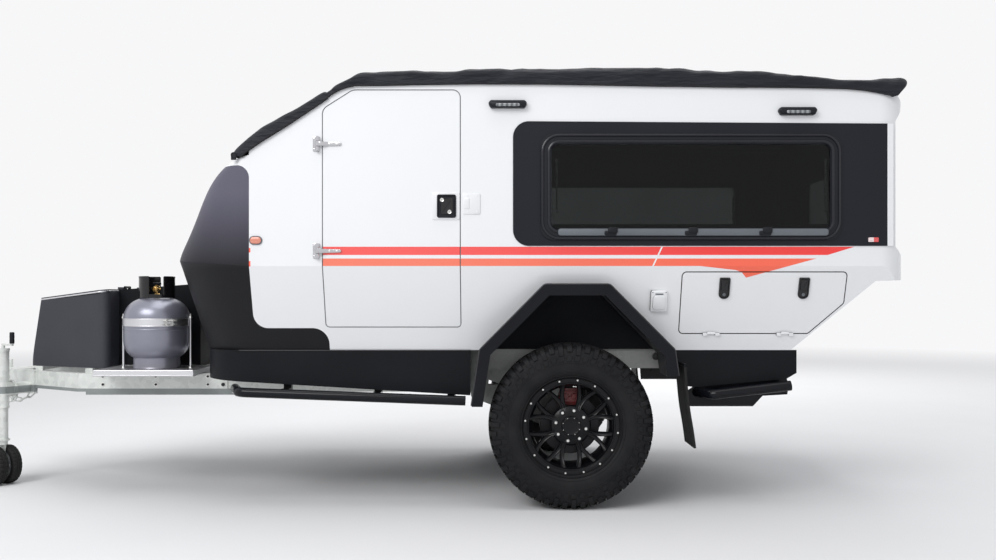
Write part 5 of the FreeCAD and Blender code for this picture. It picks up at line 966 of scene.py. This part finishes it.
make_mattress()
make_mud_flaps()


# Body fittings

STAY_ACROSS = -0.9560
FLARE_FACE = -1.0247


def make_seals():
    """Rubber lips in the gaps round the doors: an outline carried round a small square profile."""
    door = rounded([(st(-1224), 0.889, 0.022), (st(-1224), 1.966, 0.050), (st(-1074), 2.061, 0.060),
                    (st(-542), 2.061, 0.040), (st(-542), 0.889, 0.022)], 7)
    hatch = rounded([(st(x), z, 0.024) for x, z in ((545, 0.856), (545, 1.168), (1362, 1.168), (1362, 1.010),
                                                     (1198, 0.856))], 7)
    lip = [(0.2, -20), (0.2, -4.5), (3, -6), (3, -20)]
    Shell().moulded(creased(door), lip, skin, closed=True).piece("door_seal", "grey")
    Shell().moulded(hatch, lip, tucked, closed=True).piece("hatch_seals", "rubber", both=True)


def make_windows():
    """Rounded gasket beads on the window frames, the grey sill bands with their toggles, and the stays."""
    outer = [(-0.8, 3), (-1.2, 15), (1.5, 20.5), (7, 23.2), (12.5, 21.2), (16, 15)]
    inner = [(30, 15), (32.5, 20), (39, 22.8), (45.5, 20.5), (50.5, 12), (52.5, 1), (45, 1)]
    for name, corners, frame, both in (
            ("window_beads", oblong(st(-149), st(1319), 1.322, 1.842, 0.090), near, True),
            ("rear_window_beads", oblong(-0.480, 0.480, 1.340, 1.800, 0.080), rear, False)):
        beads, line = Shell(), rounded(corners, 13)
        beads.moulded(line, outer, frame, closed=True).moulded(line, inner, frame, closed=True)
        beads.piece(name, "gasket", both=both)

    band, toggles, stays = Shell(), Shell(), Shell()
    band.plate(rounded(oblong(px_x(558), px_x(827), 1.3425, 1.3765, 0.012)), 24.8, bevel=2, low=12)
    band.piece("window_sill_bands", "sill", both=True)
    for column in (610, 690, 764):
        foot, lever = (px_x(column), 1.3430), (px_x(column), 1.3530)
        toggles.plate(about(foot, -30, 30, 0, 23, 7), 29, bevel=3, low=24)
        toggles.plate(about(lever, -13, 34, 0, 30, 10), 34, bevel=4, low=27.5)
    toggles.piece("window_toggles", "trim", both=True)
    for x in (px_x(827), px_x(557)):
        for radius, *ends in ((6.2, 1.712, 1.600), (4, 1.604, 1.470)):
            stays.tube([(x, STAY_ACROSS, z) for z in ends], radius, 12, ALONG_X)
        stays.heads([(x, STAY_ACROSS, z) for z in (1.716, 1.466)], NEAR_OUT, 9, 8, 12)
    stays.piece("window_stays", "steel", both=True)


def make_handle():
    """The door handle: its white plate, a bezel round a tilted paddle, and two key barrels."""
    middle = (px_x(446), 1.4885)
    backing = Shell().plate(about(middle, -70, 68, -68, 68, 12), 5.8, bevel=3)
    backing.piece("handle_plate", "white", "entry_door")
    rim = [(0, 4.5), (0, 11.2), (1.8, 12.8), (5, 12.8), (7.8, 10.6), (9.2, 7), (20, 6.4)]
    bezel = Shell().moulded(about(middle, -44, 50, -58, 56, 10, steps=6), rim)
    bezel.piece("handle_bezel", "trim", "entry_door", "door_handle")

    def tilted(loop, height):
        return near(loop, height) - (0, 0.055, 0) * (loop[:, :1] - middle[0] + 0.026)

    blade = [(0, 6.6), (0, 8.8), (1.2, 9.8), (10, 9.2)]
    paddle = Shell().moulded(about(middle, -26, 34, -40, 36, 8, steps=6), blade, tilted)
    paddle.piece("handle_paddle", "gloss", "entry_door")
    locks, slots = Shell(), Shell()
    barrel = [(10, 0), (10, 4.2), (8.8, 5.4), (7.2, 5), (6, 4)]
    for key in ((px_x(442), 1.5180), (px_x(449.5), 1.4590)):
        locks.turned(barrel, (key[0], -HALF - 0.0088, key[1]), NEAR_OUT, 28)
        slots.moulded(about(key, -0.9, 0.9, -4.5, 4.5, 0.6, steps=3), [(0, 12), (0, 13.1)])
    locks.piece("handle_locks", "steel", "entry_door")
    slots.piece("handle_key_slots", "trim", "entry_door")


def make_hinges():
    """Straps, leaves and the strike plate. A strap is a row of eight-point sections whose half height
    tapers to the tip and whose two faces drop from the knuckle to the door."""
    pin, knuckle = st(-1244), -HALF - 0.014
    straps, leaves, screws = Shell(), Shell(), Shell()
    half_ring = [(-1.0, 0.0), (-1.0, 0.62), (-0.86, 0.94), (-0.55, 1.0)]
    ring = np.array(half_ring + [(-across, rise) for across, rise in half_ring[::-1]])
    u = np.linspace(0, 1, 26)
    along = pin + 0.004 + u * (st(-1129) - pin - 0.004)
    drop = np.clip((u - 0.10) / 0.36, 0, 1)
    drop = drop * drop * (3 - 2 * drop)
    top = 0.0195 - 0.0115 * drop
    over_gap = along < st(-1217.5)
    foot = np.where(over_gap, 0.0056, 0.0002) + (0.0050 * (1 - drop)) * over_gap
    half = (0.0121 - 0.0039 * u) * np.sqrt(np.clip(1 - np.clip((u - 0.94) / 0.06, 0, 1) ** 2 * 0.72, 0, 1))
    y = -HALF - (foot[:, None] + (top - foot)[:, None] * ring[:, 1])
    strap = np.stack([np.broadcast_to(along[:, None], y.shape), y, half[:, None] * ring[:, 0]], -1)
    roll = [(4.4, -11.8), (8.5, -11.8), (9.2, -10.8), (9.2, 10.8), (8.5, 11.8), (4.4, 11.8)]
    for middle in (1.793, 1.268):
        straps.grid(strap + (0, 0, middle))
        straps.turned(roll, (pin, knuckle, middle), UPWARDS, 28, closed=True)
        screws.heads([(pin + d, -HALF - 0.0078, middle) for d in (0.058, 0.094)], NEAR_OUT, 4.6, 1.3, 16)
        leaves.plate(about((pin, middle), -24, 10.5, -38, 38, 6), 4.6, bevel=1.2)
        for low, high in ((-36, -13.4), (13.4, 36)):
            leaves.turned([(0.5, low), (8.5, low), (9.2, low + 1), (9.2, high - 1), (8.2, high),
                           (5, high + 1.2), (0.5, high + 1.6)], (pin, knuckle, middle), UPWARDS, 28)
            web = about((pin, -HALF), -9, 9, -13.5, 0, 1, steps=3)
            leaves.moulded(web, [(0, low), (0, high)], above(middle))
        spots = [(pin - 0.0165, -HALF - 0.0045, middle + d) for d in (-0.026, 0.026)]
        leaves.heads(spots, NEAR_OUT, 4.2, 1.3, 14)
    straps.piece("hinge_straps", "chrome", "entry_door", "door_hinge_straps")
    screws.piece("hinge_screws", "steel", "entry_door")
    leaves.piece("hinge_leaves", "chrome", "trailer", "door_hinge_leaves")

    strike = Shell().plate(rounded(oblong(st(-534), st(-446), 1.448, 1.552, 0.010)), 5.2, bevel=2.5)
    strike.plate(rounded(oblong(st(-528), st(-500), 1.474, 1.526, 0.004)), 8.2, bevel=2, low=4)
    spots = [(px_x(c), -HALF - 0.0050, q) for c in (468, 477) for q in (1.460, 1.540)]
    strike.heads(spots, NEAR_OUT, 3.8, 1.2, 14).piece("strike_moulding", "white", "trailer", "strike_plate")


def make_lamps():
    """Rounded lamp housings with a ribbed lens set into the lower half, and the small marker lamps."""
    housings, lenses, screws = Shell(), Shell(), Shell()
    for x, z in ((st(-312), 1.986), (st(1107), 1.952)):
        body = rounded([(x - 0.0965, z + 0.005, 0.012), (x - 0.083, z + 0.019, 0.010),
                        (x + 0.083, z + 0.019, 0.010), (x + 0.0965, z + 0.005, 0.012),
                        (x + 0.083, z - 0.019, 0.010), (x - 0.083, z - 0.019, 0.010)], 6)
        housings.moulded(body, [(0, -0.5), (0, 22), (1.8, 28.5), (5.5, 32.5), (11, 34)])
        cover = about((x, z), -58, 58, -13.5, 1, 5.5, steps=6)
        lenses.moulded(cover, [(0, 30), (0, 35.2), (1.5, 36.8), (4, 37.4)])
        for k in range(18):
            rib = (x - 0.051 + k * 0.006, z)
            lenses.moulded(about(rib, -1.1, 1.1, -11.5, -1, 1, steps=3), [(0, 37), (0.5, 38.6)])
        screws.heads([(x + d, -HALF - 0.0325, z) for d in (-0.074, 0.074)], NEAR_OUT, 3, 1.2, 12)
    housings.piece("lamp_housings", "trim", both=True, replaces="scene_lamps")
    lenses.piece("lamp_lenses", "clear", both=True)
    screws.piece("lamp_screws", "steel", both=True)

    oval = rounded(oblong(st(-1577), st(-1520), 1.302, 1.338, 0.0175), 9)
    block = rounded(oblong(st(1456), st(1506), 1.312, 1.334, 0.003), 5)
    tail = rounded(oblong(-0.900, -0.640, 1.320, 1.400, 0.012), 7)
    markers = Shell().moulded(oval, [(1, 2), (1, 7), (3, 10), (8, 11.8), (14, 12.2)])
    markers.moulded(block, [(0, 3.6), (0, 10), (1.5, 11.8), (4, 12.2)])
    markers.moulded(shrink(tail, 0.006), [(0, 4), (0, 20), (3, 24.5), (10, 26.2)], rear)
    rims = Shell().moulded(oval, [(-3.5, 0), (-3.5, 5), (-2, 6.8), (0.4, 7), (1, 5)])
    rims.moulded(tail, [(-4, 0), (-4, 13), (-2, 16), (5, 16.5), (6.5, 12)], rear)
    markers.piece("marker_lenses", "lens", both=True, replaces="marker_lamps")
    rims.piece("marker_rims", "sill", both=True)


def make_inlet():
    """The mains inlet: a bevelled box low on the near side, with a round-cornered lid over its socket."""
    middle = x, z = st(438), 1.024
    box = Shell().plate(about(middle, -42, 42, -52, 52, 9), 15.5, tucked, bevel=4)
    box.piece("inlet_box", "white", "trailer", "power_inlet")
    lid = Shell().plate(about(middle, -31, 31, -40, 30, 14), 19.5, tucked, bevel=3, low=14)
    lid.piece("inlet_lid", "white")
    dark = Shell().plate(about(middle, -20, 20, 33.5, 40.5, 3), 16.8, tucked, bevel=0.5, low=15)
    dark.heads(tucked(np.array([(x - 0.033, z + 0.046), (x + 0.033, z + 0.046)]), 0.0155), TUCK_OUT, 3, 1, 12)
    dark.piece("inlet_hinge_and_screws", "sill")


def make_latches():
    """Pull latches: a shield with a scooped finger cup and a key barrel, lying on each hatch."""
    shield = [(0, -0.5), (0, 6.2), (1.2, 8.2), (3.5, 9), (6.2, 8.6), (8, 5.2), (14, 4.6)]
    grip = [(0, 4.5), (0, 8.8), (1.5, 10.2), (6, 9.8)]
    for side, flip in (("left", False), ("right", True)):
        body, keys = Shell(), Shell()
        for station in (760, 1152):
            middle = x, z = st(station), 1.086
            body.moulded(about(middle, -26.5, 26.5, -52, 52, 23.5, 6, 8), shield, tucked)
            body.moulded(about(middle, -17.5, 17.5, -10, 42, 6, 4, 8), grip, tucked)
            spot = tucked(np.array([[x, z - 0.030]]), 0.0045)[0]
            keys.turned([(7.8, 0), (7.8, 4.2), (6.6, 5.2), (3, 5)], spot, TUCK_OUT, 22)
        body.piece("latch_shields_" + side, "gloss", "locker_" + side, "locker_latches_" + side, flip=flip)
        keys.piece("latch_keys_" + side, "sill", "locker_" + side, flip=flip)


def make_flare_edges():
    """A raised bead along each flare's outer edge: a tube on the arch's outline, cut at the two feet."""
    arch = rounded([(st(-497), 0.448, 0), (st(-447), 0.785, 0), (st(-132), 1.103, 0.024),
                    (st(184), 1.103, 0.024), (st(500), 0.785, 0), (st(550), 0.448, 0)], 6)
    line = shrink(arch, -0.0010)[3:-3]
    first = line[0] + (line[5] - line[0]) * (0.513 - line[0, 1]) / (line[5, 1] - line[0, 1])
    last = line[-1] + (line[-6] - line[-1]) * (0.660 - line[-1, 1]) / (line[-6, 1] - line[-1, 1])
    line = np.vstack([first, line[line[:, 1] > 0.70], last])
    step = lengths(line)
    keep = np.concatenate([[True], np.diff(step) > 0.0015])
    path = walked(line[keep], step[keep], np.linspace(0, step[keep][-1], 150))
    bead = Shell().tube(facing(FLARE_FACE)(path, 0), 5.2, 10, (0, 1, 0))
    bead.piece("flare_beads", "edge", both=True)


make_seals()
make_windows()
make_handle()
make_hinges()
make_lamps()
make_inlet()
make_latches()
make_flare_edges()


# Toolbox, bottles and drawbar

LID_SLOPE = 0.10667
BOTTLE = (st(-2206), -0.480)
RAIL_OUT = -0.176


def make_lid_edge():
    """A bright folded edge and a dark seal round the toolbox lid: its outline carried round a small square
    profile, raised along the lid's slope."""
    plan = rounded([(st(-2960), -0.224, 0.045), (st(-2506), -0.432, 0.040), (st(-2506), 0.432, 0.040),
                    (st(-2960), 0.224, 0.045)], 9)

    def sloped(loop, height):
        return np.column_stack([loop, 1.0223 + (loop[:, 0] - st(-2948)) * LID_SLOPE + height])

    bright = [(-1.4, 0.6), (-1.8, 1.2), (-1.8, 7.6), (-1.4, 8.2), (2, 8.2), (2, 0.6)]
    dark = [(-3, -4), (-4, -2), (-3, 0.2), (4, 0.2), (4, -4)]
    Shell().moulded(plan, bright, sloped, closed=True).piece("lid_bright_edge", "aluminium", "toolbox_lid")
    Shell().moulded(shrink(plan, 0.004), dark, sloped, closed=True).piece("lid_seal", "rubber", "toolbox_lid")
    ribs = Shell()
    for side in (-1, 1):
        path = eased([(st(-2930), side * 0.150), (st(-2800), side * 0.205), (st(-2640), side * 0.275),
                      (st(-2545), side * 0.318)], 22)
        ribs.tube(sloped(path, 0.0134), 4.5 * np.sin(np.linspace(0.35, math.pi - 0.35, 22)) ** 0.3, 8)
    ribs.piece("lid_ribs", "chest", "toolbox_lid")


def make_bottles():
    """Two welded shells: each dome is a superellipse, radius times cosine and height times sine of the
    rise, both to the power 2 over 2.35. A rolled foot ring, a collar open beside the valve, and the valve
    with its handwheel."""
    x, y = BOTTLE
    r, foot, crown = 172.5, 700, 1045
    rise = np.linspace(0, math.pi / 2, 18)
    arc = np.column_stack([np.cos(rise), np.sin(rise)]).clip(0, 1) ** (2 / 2.35)
    low = (arc * (r, -130) + (0, foot - 12 + 130))[::-1]
    high = arc * (r, 128) + (0, crown - 128)
    weld = [(r, 864), (r + 1.2, 865.5), (r + 1.6, 868), (r + 1.2, 870.5), (r, 872)]
    shell = Shell().turned(np.vstack([low, weld, high]).clip(0.4), (x, y, 0), UPWARDS, 96)
    shell.turned([(116.5, 722), (116.5, 664), (115, 660), (117.5, 658), (121.5, 658.4), (123.5, 661.5),
                  (121.5, 665), (120.7, 672), (120.7, 722)], (x, y, 0), UPWARDS, 72, closed=True)
    shell.turned([(0.4, 1051), (30, 1051), (33, 1049), (34, 1040), (0.4, 1040)], (x, y, 0), UPWARDS, 36)
    shell.piece("bottle_shells", "bottle", "trailer", "gas_bottles", both=True)

    collar = Shell()
    wall = [(89.6, 1038), (89.6, 1146), (88.8, 1150), (90.5, 1152.8), (93, 1152.8), (95, 1150), (93.8, 1146),
            (93.2, 1140), (93.2, 1038)]
    for ends in np.radians([(8.6, 171.4), (221.7, 318.3)]):
        collar.turned(wall, (x, y, 0), UPWARDS, 44, share=(ends[1] - ends[0]) / TAU, start=ends[0])
        for turn in ends:
            edge = (x - 0.0914 * math.sin(turn), y + 0.0914 * math.cos(turn))
            collar.tube([(*edge, z) for z in (1.050, 1.100, 1.1495)], 3.6, 10, ALONG_X)
    collar.turned([(89.8, 1036), (89.8, 1056), (93, 1056), (93, 1036)], (x, y, 0), UPWARDS, 64, closed=True)
    collar.piece("bottle_collars", "gloss", both=True)

    valve = Shell().turned([(0.4, 1050), (16.5, 1050), (16.5, 1056), (12.5, 1060), (12.5, 1074), (15, 1077),
                            (15, 1096), (12, 1100), (7.5, 1102), (7.5, 1108), (0.4, 1108)],
                           (x, y, 0), UPWARDS, 28)
    valve.turned([(0.4, 0), (9.5, 0), (9.5, 18), (14, 18), (15, 20), (15, 36), (14, 38), (10, 38), (10, 43),
                  (6.5, 44), (6.5, 36), (0.4, 36)], (x, y, 1.085), NEAR_OUT, 28)
    valve.turned([(0.4, 10), (6, 10), (6, 20), (0.4, 20)], (x, y, 1.085), ALONG_X, 20)
    valve.piece("bottle_valves", "brass", both=True)

    turn = np.arange(60) * TAU / 60
    rings = []
    for q, z in ((0.25, 1104.5), (0.80, 1105), (1.0, 1107.5), (1.0, 1117.5), (0.84, 1120.5),
                 (0.45, 1119), (0.15, 1119)):
        radius = 20.5 * q * (1 + 0.10 * np.cos(5 * turn)) ** (q > 0.6)
        rings.append(mm(radius * np.cos(turn), radius * np.sin(turn), np.full(60, z)).T + (x, y, 0))
    Shell().grid(np.stack(rings)).piece("bottle_handwheels", "trim", both=True)


def make_holders():
    """Rolled edges on the strap, its bolted buckle, nuts on the rods and a folded lip round the tray."""
    x, y = BOTTLE
    beads, bolts = Shell(), Shell()
    turn = np.arange(72) * TAU / 72
    round_bottle = np.column_stack([x + 0.1758 * np.cos(turn), y + 0.1758 * np.sin(turn)])
    for z in (0.8885, 0.9255):
        beads.tube(above(z)(round_bottle, 0), 1.7, 8, closed=True)
    tray = rounded(oblong(st(-2475), st(-1952), -0.670, -0.290, 0.004), 4)
    for lip in ([(-0.6, -31.6), (-3, -30), (-3, -26.2), (-0.6, -24.6), (2, -24.6), (2, -31.6)],
                [(-0.4, -4), (-1.4, -2), (-0.4, 0.8), (3, 0.8), (3, -4)]):
        beads.moulded(tray, lip, above(0.658), closed=True)
    beads.piece("holder_beads", "aluminium", both=True)
    for rod in (x - 0.1815, x + 0.1815):
        bolts.heads([(rod, y, 0.6592)], UPWARDS, 10.5, 8)
        bolts.heads([(rod, y, 0.9290)], UPWARDS, 10, 7.5)
        bolts.tube([(rod, y, 0.930), (rod, y, 0.940), (rod, y, 0.950)], 5.2, 12, ALONG_X)
    angle = math.radians(-52)
    out = np.array([math.cos(angle), math.sin(angle), 0])
    across = np.array([-out[1], out[0], 0])
    hub = np.array([x, y, 0.907]) + out * 0.1760
    ear = mm((0, -20), (22, -17), (26, -10), (26, 10), (22, 17), (0, 20))
    ear = ear[:, :1] * out + ear[:, 1:] * np.array(UPWARDS)
    for hand in (-0.016, 0.016):
        bolts.grid(np.stack([hub + across * (hand + face) + ear for face in (-0.0016, 0.0016)]))
    for dz in (-0.009, 0.009):
        middle = hub + out * 0.015 + (0, 0, dz)
        bolts.tube([middle + across * q for q in (-0.034, 0.0, 0.040)], 3.4, 10)
        bolts.heads([middle + across * q for q in (-0.0195, 0.0195)], [-across, across], 6.6, 6)
    bolts.piece("holder_bolts", "steel", both=True)


def make_drawbar_bolts():
    """Bolt heads and washers on the drawbar's side plates, and the heads behind the coupling."""
    near_face = -0.461
    places = [(x, z) for x in (-1.6193, -1.3313, -1.0487) for z in (0.6100, 0.5660)]
    bolts = Shell().heads([(x, near_face - 0.0022, z) for x, z in places], NEAR_OUT, 7.2, 5.8)
    bolts.heads([(-0.966, near_face - 0.0022, 0.566)], NEAR_OUT, 10, 8)
    bolts.piece("side_plate_bolts", "iron", both=True)
    washers = Shell()
    for x, z in places:
        washers.turned([(11, 0), (11, 1.8), (10.4, 2.4), (2, 2.4)], (x, near_face, z), NEAR_OUT, 20)
    washers.piece("side_plate_washers", "steel", both=True)
    spots = [(st(-3222), y, z) for y in (-0.072, 0.072) for z in (0.545, 0.608)]
    Shell().heads(spots, (-1, 0, 0), 11, 8).piece("coupling_bolts", "steel")


def make_chains():
    """Round links in place of flat-sided ones: a bar round a path of two straights and two half circles,
    turned crosswise in turn along the sagging line."""
    shell = Shell()
    bar, bend_radius, gap, links = 0.0045, 0.011, 0.0015, 7
    rear_end, front_end = np.array([st(-3125), -0.12011, 0.511]), np.array([st(-3330), -0.041, 0.536])
    u = np.linspace(0, 1, 401)[:, None]
    line = rear_end + (front_end - rear_end) * u - np.array([0, 0, 0.098]) * 4 * u * (1 - u)
    run = lengths(line)
    pitch = (run[-1] + gap - 2 * bar) / links
    inside = pitch - gap
    half = np.linspace(-math.pi / 2, math.pi / 2, 9)
    bend = np.column_stack([inside / 2 + bar - bend_radius + bend_radius * np.cos(half),
                            bend_radius * np.sin(half)])
    loop = np.vstack([bend, -bend])
    for k in range(links):
        start, end = walked(line, run, bar + k * pitch + np.array([0, inside]))
        along = unit(end - start)
        across = unit(np.cross(along, (0, 1, 0)))
        if k % 2 == 0:
            across = np.cross(along, across)
        path = (start + end) / 2 + loop[:, :1] * along + loop[:, 1:] * across
        shell.tube(path, bar * 1000, 8, np.cross(along, across), closed=True)
    for (x, y, z), top in ((rear_end, 0.526), (front_end, 0.551)):
        lug = rounded([(x - 0.016, z - 0.014, 0.011), (x + 0.016, z - 0.014, 0.011), (x + 0.016, top, 0.0005),
                       (x - 0.016, top, 0.0005)], 6)
        shell.moulded(lug, [(0.6, -3), (0, -2.4), (0, 2.4), (0.6, 3)], facing(y))
    shell.piece("chain_links", "galvanised", "trailer", "safety_chains", both=True)


def beside_rail(u, v, z):
    """A place u along the near drawbar rail and v out of it, as the jack is set."""
    angle = math.atan2(-0.368, 0.570)
    c, s = math.cos(angle), math.sin(angle)
    return np.array([st(-3215) + (0.240 + u) * c - v * s, -0.062 + (0.240 + u) * s + v * c, z])


def make_jockey():
    """Tyres whose radius drops into slots round the tread, hub plates with stamped rings and bolts, and the
    crank's grip."""
    along, axis = (beside_rail(u, v, 0) - beside_rail(0, 0, 0) for u, v in ((1, 0), (0, 1)))
    tyre, hubs, bolts, rings = Shell(), Shell(), Shell(), Shell()
    turn = np.arange(120) * TAU / 120
    line = mm((74.5, 16), (74.5, 25), (79, 27.8), (90, 28), (98.5, 27.2), (104, 24), (106.2, 17.5), (107, 12),
              (107, 7.5), (104.6, 6), (104.6, 4.2), (107, 2.8))
    loop = np.vstack([line, line[::-1] * (1, -1)])
    slot = (np.cos(turn * 30) > 0.45)[:, None] * (np.abs(loop[:, 1]) > 0.0070) * (loop[:, 0] > 0.1030)
    radius = loop[:, 0] - 0.0034 * slot
    spoke = np.cos(turn)[:, None] * along + np.sin(turn)[:, None] * np.array(UPWARDS)
    tread = loop[:, 1, None] * axis + radius[..., None] * spoke[:, None]
    dish = [(8.3, -27.8), (24, -27.8), (26.2, -26.2), (30, -17.2), (40, -16.2), (44, -18.2), (60, -18.2),
            (64, -16.2), (70, -17), (74.8, -24), (76.5, -25), (76.5, -14)]
    dish += [(r, -out) for r, out in dish[::-1]]
    for hand in (-1, 1):
        middle = beside_rail(-0.024, RAIL_OUT + hand * 0.039, 0.107)
        tyre.grid(middle + tread, rows_closed=True)
        hubs.turned(dish, middle, axis, 60, closed=True)
        for face in (-1, 1):
            bolts.heads(middle + axis * face * 0.0178 + 0.052 * spoke[::24], axis * face, 5.2, 5.2)
    tyre.piece("jockey_tyres", "rubber", "jockey_wheels", "jockey_wheels")
    hubs.piece("jockey_hubs", "grey", "jockey_wheels")
    bolts.piece("jockey_hub_bolts", "steel", "jockey_wheels")
    grip = [(11.2, 2), (12.4, 4), (13.2, 16), (12.4, 28), (13.2, 40), (12.4, 52), (12.8, 60), (11, 65),
            (0.4, 65.6), (0.4, 2)]
    grip = Shell().turned(grip, beside_rail(0.084, RAIL_OUT, 0.782), UPWARDS, 24)
    grip.piece("jockey_grip", "trim", "jockey_outer")
    band = [(29.2, -6), (32.2, -5), (32.2, 5), (29.2, 6)]
    for z in (0.430, 0.742, 0.598):
        rings.turned(band, beside_rail(0, RAIL_OUT, z), UPWARDS, 40, closed=True)
    rings.piece("jockey_tube_rings", "galvanised", "jockey_outer")


make_lid_edge()
make_bottles()
make_holders()
make_drawbar_bolts()
make_chains()
make_jockey()


# Skirts and running gear

RAIL_FACE = -(HALF - TUCK_IN - 0.135)


def make_skirt_edges():
    """Rolled top edges of the skirts: a thin bar along each plate's outer top corner."""
    run = np.linspace(st(-1880), st(-498), 40)[6:]
    y = HALF - TUCK_IN + 0.0065
    edges = Shell().tube(np.column_stack([run, np.full(34, -y), np.full(34, 0.7725)]), 2.6, 8)
    edges.piece("skirt_top_edges", "edge", both=True)


def make_springs():
    """Rubber bellows: their radius swells and draws in as the height rises, over bead plates."""
    low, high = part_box("air_springs")
    x, y, z0, z1 = st(-150), RAIL_FACE + 0.002, low[2], high[2]
    u = np.linspace(0, 1, 33)
    radius = 47.5 + 7.5 * np.abs(np.sin(u * TAU)) ** 0.8
    bellows = np.column_stack([radius, 4 + u * ((z1 - z0) * 1000 - 8)])
    rubber = Shell().turned(bellows, (x, y, z0), UPWARDS, 48)
    rubber.piece("spring_bellows", "rubber", "trailer", "air_springs", both=True)
    plates = Shell()
    plate = [(0.4, 0), (46, 0), (49, 2), (49, 5), (46, 6.5), (0.4, 6.5)]
    for z, way in ((z0, 1), (z1, -1)):
        plates.turned(plate, (x, y, z), (0, 0, way), 48)
    waist = [(47, -4.5), (51.5, -3.5), (51.5, 3.5), (47, 4.5)]
    plates.turned(waist, (x, y, (z0 + z1) / 2), UPWARDS, 48, closed=True)
    plates.piece("spring_plates", "galvanised", both=True)


def make_pivots():
    """Nuts and washers on the arms' pivot pins."""
    x, y, z = st(-465), RAIL_FACE - 0.0420, 0.560
    nuts = Shell().turned([(10.5, 6), (23, 6), (23, 2.5), (10.5, 2.5)], (x, y, z), (0, 1, 0), 28, closed=True)
    nuts.heads([(x, y + 0.0010, z)], NEAR_OUT, 16, 12).piece("pivot_nuts", "frame", both=True)


def make_callipers():
    """Cast ribs and bolt heads on the outer face of each calliper."""
    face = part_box("brake_calipers")[0][1]
    x, z = AXLE, WHEEL_Z
    pad = rounded([(x - 0.050, z + 0.104, 0.008), (x - 0.040, z + 0.170, 0.010), (x + 0.040, z + 0.170, 0.010),
                   (x + 0.050, z + 0.104, 0.008)], 6)
    ribs = Shell().moulded(pad, [(0, -1), (0, 2), (2, 3.8), (7, 4.4), (8.5, 2.4), (12, 2)], facing(face))
    for dx in (-0.021, 0.021):
        ribs.turned([(15, 0), (15, 4.4), (13, 5.8), (0.4, 6)], (x + dx, face, z + 0.138), NEAR_OUT, 24)
    ribs.piece("calliper_ribs", "red", both=True)


make_skirt_edges()
make_springs()
make_pivots()
make_callipers()


# Camera, studio floor and light

def placed(name, data, place, turn):
    thing = bpy.data.objects.new(name, data)
    thing.location, thing.rotation_euler = place, turn
    scene.collection.objects.link(thing)
    return thing


def make_camera():
    data = bpy.data.cameras.new("side_view")
    data.sensor_width = 36.0
    data.lens = data.sensor_width * 986.0 / FRAME_WIDTH
    data.shift_y = 15.0 / FRAME_WIDTH
    scene.camera = placed("side_view", data, CAMERA, (math.pi / 2, 0, 0))


def soft_box(name, place, target, size, power):
    """A rectangular lamp at place facing target."""
    data = bpy.data.lights.new(name, "AREA")
    data.shape = "RECTANGLE"
    data.size, data.size_y = size
    data.energy = power
    aim = np.subtract(target, place)
    drop = math.atan2(math.hypot(aim[0], aim[1]), -aim[2])
    placed(name, data, place, (drop, 0, math.atan2(aim[1], aim[0]) - math.pi / 2))


def make_studio():
    """A pale floor that glows further off, and a world that is brighter to the eye than to the trailer."""
    size = 60.0
    data = bpy.data.meshes.new("studio_floor")
    corners = [(-size, -size, 0), (size, -size, 0), (size, size, 0), (-size, size, 0)]
    data.from_pydata(corners, [], [(0, 1, 2, 3)])
    placed("studio_floor", data, (0, 0, 0), (0, 0, 0))
    pale = {"Color": (0.93, 0.93, 0.94), "Strength": 1.0}
    f = Finish("pale_floor")
    far = (f.x * f.x + f.y * f.y).power(0.5).span(5.0, 16.0)
    colour = f.mixed(f.noise(1.5), (0.74, 0.74, 0.75), (0.77, 0.77, 0.78))
    plain, glow = f.read("BsdfDiffuse", None, {"Color": colour}), f.read("Emission", None, pale)
    data.materials.append(f.close(f.read("MixShader", None, {0: far, 1: plain, 2: glow})))

    w = Finish("studio", bpy.data.worlds, "OutputWorld")
    camera, glossy, through = (w.read("LightPath", out="Is %s Ray" % ray)
                               for ray in ("Camera", "Glossy", "Transmission"))
    dim = w.read("Background", None, {"Color": (0.96, 0.98, 1.0), "Strength": 0.52})
    bright = w.read("Background", None, pale)
    seen = camera.most(glossy).most(through)
    scene.world = w.close(w.read("MixShader", None, {0: seen, 1: dim, 2: bright}))

    soft_box("key", (-4.0, -7.5, 6.5), (0, 0, 1.0), (6.0, 4.0), 505)
    soft_box("top", (0.5, 0.0, 8.5), (0.5, 0, 1.0), (8.0, 6.0), 330)
    soft_box("back", (3.0, 8.0, 5.5), (0, 0, 1.0), (6.0, 4.0), 330)


make_camera()
make_studio()
